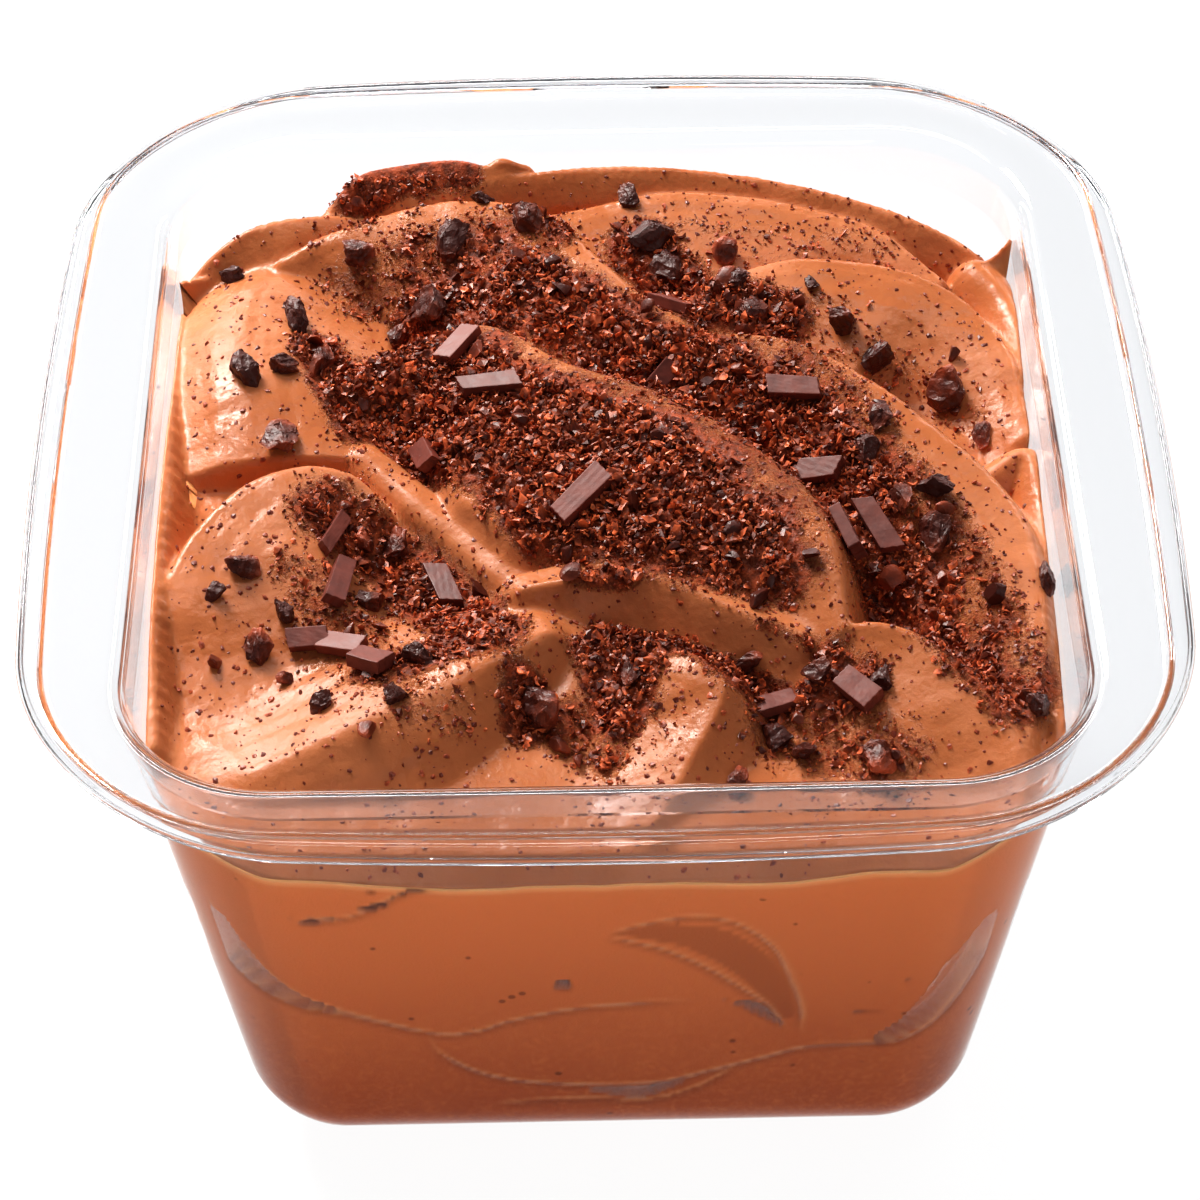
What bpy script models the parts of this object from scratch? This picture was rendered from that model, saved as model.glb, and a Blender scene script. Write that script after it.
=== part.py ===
"""Chocolate mousse, spooned in folds into the clear square tub that holds it.

Metres, +Z up. The origin is the middle of the tub's base, on the surface that it stands on.
The tub is one thin shell: a swept mouth, flange, wall and base given its thickness by Solidify.
The mousse is one solid that fills the tub up to its folds.
"""

import math

import bpy
import numpy as np

MM = 0.001

# The tub. Half sizes run from the middle to the middle of a side.
HEIGHT = 67.5 * MM
RIM_HALF_WIDTH = 57.5 * MM
EXTRA_DEPTH = 3.45 * MM
RIM_CORNER = 27.5 * MM
RIM_BOW = 3.2 * MM
SHEET = 0.7 * MM
WALL_TOP_HALF = 47.27 * MM
WALL_BASE_HALF = 37.0 * MM
CORNER_TOP = 15.6 * MM
CORNER_BASE = 9.0 * MM
BASE_FILLET = 9.2 * MM

# The mouth in section: (inwards from the outer edge, up from the outer edge's top).
MOUTH_SECTION = [(0.15, -1.0), (0.0, -0.45), (0.5, 0.25), (1.6, 0.62), (2.9, 0.5), (3.7, -0.3),
                 (8.1, -0.49), (9.9, -0.85)]
MOUTH_END = (11.07, -1.89)
MOUTH = HEIGHT + MOUTH_END[1] * MM
SHARPEST_CORNER = 1.2 * MM

# Levels at which the wall is measured out, on the high part and from below the mousse's edge to the base.
HIGH_LEVELS = [MOUTH - drop * MM for drop in (2.0, 8.0)]
LOW_LEVELS = [MOUTH - drop * MM for drop in (18.5, 38.0)]
LOW_LEVELS += [BASE_FILLET * (1 - math.sin(turn * math.pi / 8)) for turn in range(5)]

# The mousse. Heights are from the tub's outer edge, which is 0.
GAP = 0.3 * MM
LEVEL_FRONT = -15.4
LEVEL_BACK = -11.5
CORNER_RISE = 2.6
FRONT_DROP = 2.9
HIGHEST = -3.9
HIGHEST_AT_BACK = -2.2
BLEND = 0.35
CLIFF = 2.6
EDGE_ROUND = 0.35
FAR_BELOW = -40.0
GRID_HALF = 24
CONTACT_DEPTH = 12.0 * MM

CORNER_STEPS = 5
SIDE_STEPS = 4

# A fold: its crest as (x, y, height), then for its left and its right, as seen along the crest: the widths
# at even steps along it, how far it falls over that width, the curve of the fall (1 is straight, more is
# domed, less is hollow), and the slope past that width. The last value says which ends are cut off blunt.
FOLDS = {
    "back_left_curl": ([(-30.0, 43.6, -6.4), (-26.0, 47.0, -3.4), (-20.0, 48.2, -2.6), (-14.4, 48.4, -2.6),
                        (-9.4, 47.8, -3.6)],
                       ((2.5, 2.5, 2.0), 4.0, 1.5, 2.6), ((3.0, 6.0, 4.0), 4.0, 1.3, 2.6), ""),
    "back_tip": ([(-11.8, 48.6, -3.4), (-10.2, 48.7, -2.2), (-7.0, 48.4, -3.4)],
                 ((1.0, 1.4, 1.0), 1.6, 1.2, 2.6), ((1.4, 1.6, 1.4), 2.0, 1.2, 2.6), ""),
    "back_ridge": ([(-17.6, 45.0, -5.4), (-10.0, 47.0, -4.0), (-1.0, 47.8, -3.2), (8.0, 47.6, -3.4),
                    (17.1, 46.6, -3.9), (27.0, 43.8, -4.6), (36.0, 40.2, -5.8), (42.5, 37.0, -8.2)],
                   ((1.6, 1.8, 1.6), 3.0, 1.5, 2.6), ((3.0, 4.0, 3.0), 3.4, 1.3, 2.6), ""),
    "left_back_ridge": ([(-45.4, 35.0, -9.4), (-41.0, 38.6, -6.4), (-36.0, 41.4, -5.4), (-30.0, 43.0, -5.6),
                         (-24.0, 43.6, -7.0)],
                        ((1.2, 1.6, 1.2), 3.0, 1.5, 2.6), ((3.0, 6.0, 5.0), 3.5, 1.2, 2.6), ""),
    "back_right_fold": ([(-6.0, 41.5, -5.6), (6.2, 44.2, -4.6), (13.4, 44.0, -4.5), (22.0, 42.4, -5.0),
                         (31.0, 39.2, -6.0), (37.8, 32.8, -8.0)],
                        ((1.6, 1.6, 1.6), 3.0, 1.8, 2.6), ((14.0, 19.0, 8.0), 4.5, 1.6, 2.6), ""),
    "right_back_fold": ([(8.0, 24.5, -5.4), (14.5, 29.6, -4.7), (22.0, 32.1, -4.6), (31.0, 31.4, -5.1),
                         (38.6, 27.8, -6.2), (43.6, 19.5, -7.3), (45.3, 8.0, -9.0)],
                        ((1.6, 1.8, 1.6), 3.0, 1.9, 2.6), ((12.0, 22.0, 6.0), 4.6, 1.6, 2.6), ""),
    "left_dome": ([(-34.0, 39.5, -8.6), (-37.0, 31.0, -7.0), (-37.8, 20.0, -6.7), (-36.6, 11.0, -7.6),
                   (-36.0, 5.4, -9.0)],
                  ((13.0, 17.0, 16.0), 3.6, 1.8, 2.6), ((7.0, 8.5, 9.0), 3.0, 1.9, 2.6), "end"),
    "top_fold": ([(-34.6, 36.6, -7.0), (-30.0, 39.0, -5.6), (-19.5, 42.6, -4.4), (-9.8, 42.8, -4.1),
                  (-3.9, 38.6, -4.1), (2.8, 28.4, -4.2), (8.5, 22.0, -4.8)],
                 ((1.2, 1.8, 2.5), 3.4, 1.6, 2.6), ((3.0, 16.0, 22.0, 21.0, 8.0), 5.0, 1.7, 1.8), ""),
    "right_arc": ([(11.2, 20.2, -5.0), (21.1, 17.7, -4.5), (29.6, 10.0, -4.7), (37.0, 1.0, -5.4),
                   (42.0, -7.4, -6.3), (43.5, -17.5, -7.3), (42.8, -28.0, -9.2), (40.6, -36.5, -11.6)],
                  ((1.5, 2.4, 2.0), 3.4, 1.9, 2.6), ((8.0, 18.0, 6.0), 4.2, 1.8, 2.6), ""),
    "middle_fold": ([(-28.6, 14.4, -8.2), (-24.0, 18.4, -7.0), (-17.6, 21.4, -5.9), (-11.6, 22.0, -5.0),
                     (-4.2, 14.6, -4.3), (4.1, 8.5, -4.0), (10.8, 3.4, -4.0), (17.4, -3.1, -4.3),
                     (21.6, -9.4, -4.9), (23.4, -16.0, -5.9), (24.0, -22.4, -8.0)],
                    ((1.6, 2.0, 6.0, 4.0, 1.6), 3.4, 1.6, 2.6),
                    ((2.0, 16.0, 21.0, 22.5, 20.0, 14.5, 3.0), 3.8, 1.8, 1.1), ""),
    "left_swirl": ([(-46.0, -22.0, -12.0), (-44.4, -15.0, -9.2), (-41.6, -7.5, -7.9), (-37.0, -1.2, -7.1),
                    (-31.0, 1.9, -6.9), (-26.0, 1.6, -7.6), (-22.5, -1.4, -9.2)],
                   ((1.2, 1.6, 1.4), 2.6, 1.6, 2.2), ((20.0, 26.0, 32.0, 24.0, 8.0), 5.2, 1.25, 0.5), ""),
    "left_swirl_lip": ([(-5.8, -21.2, -9.2), (-11.0, -25.0, -8.8), (-18.4, -29.8, -9.1), (-26.0, -33.6, -10.4),
                        (-33.9, -37.0, -12.2)],
                       ((4.0, 8.0, 6.0), 4.8, 1.5, 1.2), ((8.0, 14.0, 12.0), 2.6, 1.3, 0.6), ""),
    "valley_strip": ([(-24.6, 6.6, -9.4), (-20.0, 1.2, -9.8), (-14.6, -4.6, -10.2), (-9.4, -11.0, -10.6),
                      (-4.4, -16.6, -11.0), (-2.4, -21.6, -11.7), (-5.0, -29.0, -13.4)],
                     ((2.4, 2.8, 2.4), 0.8, 2.0, 1.6), ((2.0, 2.2, 2.0), 1.0, 2.0, 2.6), ""),
    "front_fold": ([(-0.6, -19.4, -10.6), (4.6, -22.4, -9.4), (9.6, -26.0, -8.6), (11.6, -30.0, -9.2),
                    (8.2, -37.0, -11.6), (3.6, -45.0, -14.2)],
                   ((1.5, 3.8, 4.4), 3.4, 1.0, 1.6), ((4.0, 11.0, 14.0), 3.2, 1.3, 1.0), ""),
    "front_right_arc": ([(22.6, -22.6, -8.8), (26.4, -22.4, -7.7), (31.0, -24.4, -7.8), (35.4, -28.6, -8.6),
                         (38.8, -34.0, -9.8), (40.0, -40.0, -11.8), (38.6, -46.0, -13.8)],
                        ((1.6, 2.2, 2.4), 1.8, 1.5, 2.0), ((8.0, 16.0, 12.0), 4.6, 0.9, 1.0), ""),
    "right_wall_curl": ([(40.6, 1.6, -9.0), (44.6, 3.2, -7.6), (45.6, -4.0, -8.4), (45.4, -19.0, -9.6),
                         (44.0, -35.0, -11.4)],
                        ((2.6, 3.0, 2.0), 2.4, 1.8, 2.0), ((2.6, 3.6, 2.0), 2.4, 1.8, 2.0), ""),
    "right_smear": ([(41.8, 33.6, -6.6), (45.0, 27.0, -7.2), (46.2, 16.0, -8.2)],
                    ((3.0, 3.0, 3.0), 2.0, 1.8, 2.6), ((3.0, 3.5, 3.0), 2.4, 1.8, 2.6), ""),
    "right_spike": ([(45.8, 35.4, -3.8), (43.6, 34.4, -6.2), (40.3, 33.0, -7.8)],
                    ((0.6, 1.0, 1.6), 2.4, 1.0, 2.6), ((0.8, 1.2, 1.6), 3.0, 1.2, 2.6), ""),
    "left_spike": ([(-46.2, 32.0, -4.8), (-45.4, 33.6, -6.8), (-42.5, 36.0, -8.4)],
                   ((0.6, 1.0, 1.6), 2.4, 1.0, 2.6), ((0.8, 1.2, 1.6), 3.0, 1.2, 2.6), ""),
    "middle_fold_lip": ([(-8.0, -15.0, -8.9), (-3.0, -14.6, -8.0), (3.0, -14.2, -7.6), (8.0, -16.2, -7.7),
                         (12.6, -18.8, -8.1), (19.8, -22.5, -9.2)],
                        ((3.0, 5.0, 4.0), 1.0, 1.2, 2.6), ((0.4, 0.7, 0.5), 0.3, 1.0, 1.15), ""),
    "left_wall_smear": ([(-45.6, 30.0, -8.8), (-45.6, 14.0, -8.2), (-45.4, -4.0, -7.8), (-45.0, -20.0, -8.8),
                         (-44.0, -34.0, -11.2)],
                        ((0.8, 1.4, 0.8), 0.8, 1.3, 1.6), ((3.0, 3.0, 3.0), 0.4, 1.0, 1.0), ""),
}


CLEAR = {"Base Color": (0.93, 0.95, 0.98, 1.0), "Roughness": 0.04, "Transmission Weight": 1.0, "IOR": 1.5}
CHOCOLATE = {"Base Color": (0.36, 0.15, 0.07, 1.0), "Roughness": 0.38, "Metallic": 0.0}


def clear_scene():
    for thing in list(bpy.data.objects):
        bpy.data.objects.remove(thing, do_unlink=True)


def material(name, values):
    made = bpy.data.materials.new(name)
    made.use_nodes = True
    shader = made.node_tree.nodes["Principled BSDF"]
    for socket, value in values.items():
        shader.inputs[socket].default_value = value
    return made


def new_object(name, verts, faces, collection, finish):
    mesh = bpy.data.meshes.new(name)
    mesh.from_pydata([tuple(v) for v in verts], [], faces)
    mesh.materials.append(finish)
    mesh.shade_smooth()
    made = bpy.data.objects.new(name, mesh)
    collection.objects.link(made)
    return made


def square_point(side, along, half, corner, bow):
    """Points of the tub's rounded square outline. Side 0 is +X and they run anticlockwise; along goes
    from -1, the middle of one corner, to 1, the middle of the next, at an even pace."""
    side, along = np.asarray(side), np.asarray(along, float)
    half_x, half_y = half, half + EXTRA_DEPTH
    across = np.where(side % 2 == 0, half_x, half_y)
    straight = np.where(side % 2 == 0, half_y, half_x) - corner
    walked = np.abs(along) * (straight + corner * math.pi / 4)
    turn = np.maximum(0.0, walked - straight) / corner
    out = across - corner + corner * np.cos(turn)
    over = np.sign(along) * (np.minimum(walked, straight) + corner * np.sin(turn))
    cos, sin = np.array([1, 0, -1, 0])[side], np.array([0, 1, 0, -1])[side]
    x, y = cos * out - sin * over, sin * out + cos * over
    part_x, part_y = x / half_x, y / half_y
    return x - bow * part_x * np.abs(part_x) * part_y ** 2, y - bow * part_y * np.abs(part_y) * part_x ** 2


def wall_section(height, inset):
    """Half size, corner radius and bow (none) of the wall's inner face, moved inwards by inset."""
    height = np.asarray(height, float)
    share = height / HEIGHT
    half = WALL_BASE_HALF + (WALL_TOP_HALF - WALL_BASE_HALF) * share - SHEET
    corner = CORNER_BASE + (CORNER_TOP - CORNER_BASE) * share
    lift = np.clip(1 - height / BASE_FILLET, 0, 1)
    cut = BASE_FILLET * (1 - np.sqrt(1 - lift ** 2))
    corner = np.maximum(corner - cut - inset, SHARPEST_CORNER)
    return half - cut - inset, corner, 0.0


def above_base(level, lift):
    """The height of a level of the wall, once the base's thickness has raised its inner face."""
    return level + (SHEET + lift) * (1 - level / MOUTH)


def outline(half, corner, bow, height):
    points = []
    for side in range(4):
        straight = (half + EXTRA_DEPTH * (side % 2 == 0)) - corner
        bend = corner * math.pi / 4 / (straight + corner * math.pi / 4)
        stops = [-1 + step / CORNER_STEPS * bend for step in range(CORNER_STEPS)]
        stops += [-1 + bend + (2 - 2 * bend) * step / SIDE_STEPS for step in range(SIDE_STEPS)]
        stops += [1 - bend + step / CORNER_STEPS * bend for step in range(CORNER_STEPS)]
        x, y = square_point(np.full(len(stops), side), stops, half, corner, bow)
        points += [(px, py, height) for px, py in zip(x, y)]
    return points


def tub_rings():
    """The tub's upper and inner face as rings, from the hem of the skirt to the base."""
    rings = []
    for inwards, up in MOUTH_SECTION + [MOUTH_END]:
        half = RIM_HALF_WIDTH - inwards * MM
        share = min(1.0, inwards / MOUTH_END[0])
        corner = RIM_CORNER - inwards * MM * (1 - share) + share * (CORNER_TOP - RIM_CORNER)
        bow = RIM_BOW * (1 - share)
        rings.append(outline(half, corner, bow, HEIGHT + up * MM))
    for level in HIGH_LEVELS + LOW_LEVELS:
        rings.append(outline(*wall_section(level, 0.0), above_base(level, 0.0)))
    return rings


def build_tub(collection):
    rings = tub_rings()
    around = len(rings[0])
    verts = [point for ring in rings for point in ring]
    faces = []
    for row in range(len(rings) - 1):
        for step in range(around):
            a = row * around + step
            b = row * around + (step + 1) % around
            faces.append((a, b, b + around, a + around))
    last = (len(rings) - 1) * around
    faces.append(tuple(last + step for step in range(around)))
    tub = new_object("tub", verts, faces, collection, material("clear_plastic", CLEAR))
    solid = tub.modifiers.new("sheet", "SOLIDIFY")
    solid.thickness = SHEET
    solid.offset = -1.0
    solid.use_even_offset = True
    solid.use_rim = True
    return tub


def smooth_line(points, steps=8):
    """A curve through the points, as even parts of a Catmull-Rom spline."""
    given = np.array(points, float)
    ends = np.vstack([2 * given[0] - given[1], given, 2 * given[-1] - given[-2]])
    line = []
    for k in range(len(given) - 1):
        a, b, c, d = ends[k:k + 4]
        for t in np.arange(steps) / steps:
            line.append(0.5 * (2 * b + (c - a) * t + (2 * a - 5 * b + 4 * c - d) * t ** 2
                               + (3 * b - a - 3 * c + d) * t ** 3))
    line.append(given[-1])
    return np.array(line)


def along_line(x, y, line):
    """For each point, how far it is from a line, how far along it (0 to 1), the line's height there, how much
    it lies to the line's left (1) or right (0), and how far past the line's start and end it is."""
    start, step = line[:-1, :2], np.diff(line[:, :2], axis=0)
    length = np.hypot(step[:, 0], step[:, 1])
    off_x, off_y = x[:, None] - start[:, 0], y[:, None] - start[:, 1]
    reach = (off_x * step[:, 0] + off_y * step[:, 1]) / length ** 2
    part = np.clip(reach, 0, 1)
    away = np.hypot(off_x - part * step[:, 0], off_y - part * step[:, 1])
    nearest = away.min(1, keepdims=True)
    pull = np.exp(-(away - nearest) / (0.25 + 0.12 * nearest)) * length
    pull /= pull.sum(1, keepdims=True)
    near = (pull * away).sum(1)
    walked = np.concatenate([[0], np.cumsum(length)])
    along = (pull * (walked[:-1] + part * length)).sum(1) / walked[-1]
    top = (pull * (line[:-1, 2] + part * np.diff(line[:, 2]))).sum(1)
    cross = (step[:, 0] * off_y - step[:, 1] * off_x) / length
    leftness = (pull * cross).sum(1) / np.maximum(near, 0.05)
    before = np.maximum(-reach[:, 0], 0) * length[0] * (along < 0.1)
    after = np.maximum(reach[:, -1] - 1, 0) * length[-1] * (along > 0.9)
    return near, along, top, 0.5 + 0.5 * np.clip(leftness * 1.2, -1, 1), before, after


def soft_excess(amount):
    """How far an amount is above nought, with its corner rounded off."""
    return 0.5 * (amount + np.hypot(amount, EDGE_ROUND)) - EDGE_ROUND / 2 * np.exp(-np.abs(amount))


def fold_height(x, y, crest, left, right, cut):
    """How high one fold stands at each point (millimetres). Past its width it drops away steeply."""
    line = smooth_line(crest)
    reach = max(*left[0], *right[0]) + 9
    low, high = line[:, :2].min(0) - reach, line[:, :2].max(0) + reach
    inside = (x > low[0]) & (x < high[0]) & (y > low[1]) & (y < high[1])
    near, along, top, share, before, after = along_line(x[inside], y[inside], line)
    drop = CLIFF * (before * ("start" in cut) + after * ("end" in cut))
    for part, (widths, fall, curve, slope) in ((share, left), (1 - share, right)):
        width = np.interp(along, np.linspace(0, 1, len(widths)), widths)
        within = fall * np.minimum(near / width, 1) ** curve
        drop = drop + part * (within + slope * soft_excess(near - width))
    height = np.full(x.shape, FAR_BELOW)
    height[inside] = top - drop
    return height


def mousse_height(x, y):
    """The mousse's surface (millimetres, below the tub's outer edge): the highest fold at each point."""
    reach_x = np.abs(x) * MM / WALL_TOP_HALF
    reach_y = np.abs(y) * MM / WALL_TOP_HALF
    slope = LEVEL_FRONT + (LEVEL_BACK - LEVEL_FRONT) * np.clip((y + 50) / 60, 0, 1)
    bed = slope + CORNER_RISE * (reach_x * reach_y) ** 2 * (y < 0)
    drop = FRONT_DROP * np.clip((-y - 43.6) / 3.8, 0, 1) ** 2 * (1 - reach_x ** 4)
    layers = [bed] + [fold_height(x, y, *fold) for fold in FOLDS.values()]
    stack = np.stack(layers)
    top = stack.max(0)
    height = top + BLEND * np.log(np.exp((stack - top) / BLEND).sum(0))
    ceiling = HIGHEST + (HIGHEST_AT_BACK - HIGHEST) * np.clip((y - 41) / 4, 0, 1)
    return np.minimum(height, ceiling) - drop


def grid_places(half_count):
    """For each corner of a square grid of cells: its side, its place along that side, and how far out."""
    steps = np.arange(-half_count, half_count + 1)
    i, j = np.meshgrid(steps, steps)
    out = np.maximum(np.abs(i), np.abs(j))
    side = np.select([(i == out) & (j > -out), (j == out), (i == -out)], [0, 1, 2], 3)
    over = np.choose(side, [j, -i, -j, i])
    return side.ravel(), (over / np.maximum(out, 1)).ravel(), (out / half_count).ravel()


def grid_edge(half_count):
    """The grid's outer corners, anticlockwise from the one at +X, -Y: index, side and place along it."""
    wide = 2 * half_count + 1
    edge = []
    for side in range(4):
        for step in range(-half_count, half_count):
            i, j = ((half_count, step), (-step, half_count), (-half_count, -step), (step, -half_count))[side]
            edge.append(((j + half_count) * wide + i + half_count, side, step / half_count))
    return [np.array(column) for column in zip(*edge)]


def contact_heights(side, along):
    """The height at which the mousse's surface meets the wall at these places round it."""
    x, y = square_point(side, along, *wall_section(HEIGHT - CONTACT_DEPTH, GAP))
    return HEIGHT + mousse_height(x / MM, y / MM) * MM


def surface_points(half_count):
    """The grid's corners laid over the mousse's surface, out to the wall."""
    edge, edge_side, edge_along = grid_edge(half_count)
    contact = contact_heights(edge_side, edge_along)
    side, along, out = grid_places(half_count)
    level = np.interp(side * 2 + along, edge_side * 2 + edge_along, contact, period=8)
    x, y = square_point(side, along, *wall_section(level, GAP))
    x, y = x * out, y * out
    z = HEIGHT + mousse_height(x / MM, y / MM) * MM
    x[edge], y[edge] = square_point(edge_side, edge_along, *wall_section(z[edge], GAP))
    return np.stack([x, y, z], -1)


def build_mousse(collection):
    top = surface_points(GRID_HALF)
    wide = 2 * GRID_HALF + 1
    faces = []
    for j in range(wide - 1):
        for i in range(wide - 1):
            a = j * wide + i
            faces.append((a, a + 1, a + 1 + wide, a + wide))
    above, side, along = grid_edge(GRID_HALF)
    count = len(above)
    verts = [top]
    for ring, level in enumerate(LOW_LEVELS):
        x, y = square_point(side, along, *wall_section(level, GAP))
        verts.append(np.stack([x, y, np.full(count, above_base(level, GAP))], -1))
        below = len(top) + ring * count + np.arange(count)
        for step in range(count):
            after = (step + 1) % count
            faces.append((above[after], above[step], below[step], below[after]))
        above = below
    faces.append(tuple(reversed(above)))
    faces = [tuple(int(corner) for corner in face) for face in faces]
    return new_object("mousse", np.vstack(verts), faces, collection, material("chocolate_mousse", CHOCOLATE))


def main():
    clear_scene()
    collection = bpy.data.collections.new("chocolate_mousse_tub")
    bpy.context.scene.collection.children.link(collection)
    build_tub(collection)
    build_mousse(collection)


main()
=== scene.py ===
import math

import bmesh
import bpy
import numpy as np
from mathutils import Matrix, Vector


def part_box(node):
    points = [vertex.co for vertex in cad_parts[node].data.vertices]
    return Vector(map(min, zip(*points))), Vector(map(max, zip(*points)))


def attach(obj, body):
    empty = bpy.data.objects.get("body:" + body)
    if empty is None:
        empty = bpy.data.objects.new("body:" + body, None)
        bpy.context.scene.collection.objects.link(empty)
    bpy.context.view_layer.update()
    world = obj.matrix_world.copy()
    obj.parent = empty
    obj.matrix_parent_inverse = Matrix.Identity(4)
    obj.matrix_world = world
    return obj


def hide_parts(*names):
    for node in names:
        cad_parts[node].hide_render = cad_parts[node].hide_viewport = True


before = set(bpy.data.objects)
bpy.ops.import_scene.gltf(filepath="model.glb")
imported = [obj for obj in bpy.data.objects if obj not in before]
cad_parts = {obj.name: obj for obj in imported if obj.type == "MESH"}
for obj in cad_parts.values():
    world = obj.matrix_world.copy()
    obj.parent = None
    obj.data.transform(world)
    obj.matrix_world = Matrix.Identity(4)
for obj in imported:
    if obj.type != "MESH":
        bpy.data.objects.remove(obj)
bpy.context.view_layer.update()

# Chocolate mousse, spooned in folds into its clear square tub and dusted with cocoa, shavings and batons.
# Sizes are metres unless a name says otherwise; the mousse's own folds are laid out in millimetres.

MM = 0.001
BODY = "root"
tub_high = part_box("tub")[1]

# The tub, as its solid is built.
BEAD_RISE = 0.62 * MM
HEIGHT = tub_high.z - BEAD_RISE
RIM_HALF_WIDTH = tub_high.x
EXTRA_DEPTH = tub_high.y - tub_high.x
RIM_CORNER = 27.5 * MM
RIM_BOW = 3.2 * MM
SHEET = 0.7 * MM
WALL_TOP_HALF = 47.27 * MM
WALL_BASE_HALF = 37.0 * MM
CORNER_TOP = 15.6 * MM
CORNER_BASE = 9.0 * MM
BASE_FILLET = 9.2 * MM
SHARPEST_CORNER = 1.2 * MM
# The mouth in section, in millimetres: (inwards from the outer edge, up from the outer edge's top).
MOUTH_SECTION = [(0.15, -1.0), (0.0, -0.45), (0.5, 0.25), (1.6, 0.62), (2.9, 0.5), (3.7, -0.3),
                 (8.1, -0.49), (9.9, -0.85), (11.07, -1.89)]
MOUTH = HEIGHT + MOUTH_SECTION[-1][1] * MM
TUB_AROUND = 72
# The wall's rings, in millimetres below the mouth, and the steps round the base's fillet. The lowest rings
# are backed by mousse all round.
WALL_DROPS = (0.6, 1.4, 2.6, 4.5, 7.0, 10.0, 15.0, 22.0, 30.0, 38.0, 46.0, 52.0)
FILLET_STEPS = 12
BACKED_RINGS = 21
PLASTIC_IOR = 1.5
PLASTIC_IOR_ON_MOUSSE = 1.16

# The mousse. It reaches just into the wall, so that no air shows between them.
INTO_WALL = -0.12 * MM
CONTACT_DEPTH = 12 * MM
# Its bed under the folds, its dip at the front and the height that no fold passes. Heights are in
# millimetres from the tub's outer edge; each changes from one y on, over a run of y.
LEVEL_FRONT, LEVEL_BACK, LEVEL_FROM, LEVEL_RUN = -15.4, -11.5, -50, 60
CORNER_RISE = 2.6
FRONT_DROP, DROP_FROM, DROP_RUN = 2.5, -43.6, 3.8
HIGHEST, HIGHEST_AT_BACK, BACK_FROM, BACK_RUN = -3.9, -2.2, 41, 4
FAR_BELOW = -40.0
BLEND = 0.35
CLIFF = 2.6
EDGE_ROUND = 0.35
# How widely the parts of a bent line share a point on it, and how much more for each millimetre away.
BEND_BLEND, BEND_SPREAD = 0.25, 0.12
# The unevenness of the whole surface, as (height, wavelength, seed), and the grooves that a spatula leaves,
# as wavelengths and the height for each millimetre of wavelength.
UNEVENNESS = ((0.16, 11.0, 31), (0.05, 4.0, 32))
GROOVES, GROOVE_HEIGHT = (3.4, 1.9, 1.1, 0.6), 0.008
GRID_HALF = 128
SIDE_RINGS = 74
RING_CROWDING = 1.1
TUCK_IN = 4.0 * MM
TUCK_DOWN = 6.0 * MM

# The camera's place, as an orbit about a point a little below the tub's rim.
CAMERA_LENS = 115.85
CAMERA_PITCH = math.radians(42.87)
CAMERA_DISTANCE = 410.3 * MM
CAMERA_TURN = math.radians(0.61)
CAMERA_ROLL = math.radians(0.61)
AIM = Vector((-0.17 * MM, 0, HEIGHT - 24.72 * MM))
LAMPS_AIM = Vector((0, 0, 40 * MM))
FLOOR_HALF = 1.6

# Darker and lighter tones of each material, as linear red, green and blue.
MOUSSE_TONES = ((0.46, 0.145, 0.054), (0.55, 0.185, 0.072))
# Cocoa powder's own colour, painted darker in the pits of its relief: painted shade.
POWDER_SHADED_TONES = ((0.10, 0.014, 0.0055), (0.42, 0.075, 0.023))
# The mousse at the wall runs from the first tone at its base to the second near its top: the darker base is
# painted shade.
WALL_SHADED_TONES = ((0.30, 0.048, 0.007), (0.74, 0.205, 0.065))
WALL_STREAK = (0.64, 0.18, 0.050)
# Painted highlight beside the seams and along the mousse's top edge at the wall.
WALL_HIGHLIGHT = (1.0, 0.50, 0.22)
# Painted shade of seams, pockets, folds, cracks and pores, and cocoa pressed against the wall.
WALL_SHADE_AND_COCOA = (0.085, 0.014, 0.005)
# For the crumbs, specks, chips and chunks below, the lighter tone is painted at the pieces' tips and edges as
# painted highlight and the darker in their hollows as painted shade, over each piece's own tone.
CRUMB_TONES = ((0.080, 0.010, 0.003), (0.95, 0.20, 0.065))
FINE_CRUMB_TONES = ((0.16, 0.021, 0.006), (1.0, 0.25, 0.080))
SPECK_TONES = ((0.16, 0.022, 0.007), (0.60, 0.12, 0.040))
CHIP_TONES = ((0.07, 0.010, 0.004), (0.40, 0.075, 0.026))
CHUNK_TONES = ((0.066, 0.0105, 0.005), (0.46, 0.095, 0.038))
BATON_TONES = ((0.085, 0.015, 0.009), (0.23, 0.050, 0.030))
FLOOR_TONES = ((0.07, 0.07, 0.07), (0.06, 0.06, 0.062))
FLOOR_GLOW = ((1.0, 1.0, 1.0), (0.20, 0.205, 0.215))
# How deep light goes into the mousse, and how much further red goes than green and blue.
LIGHT_DEPTH = 2.0 * MM
LIGHT_SPREAD = (1.0, 0.35, 0.12)

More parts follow.
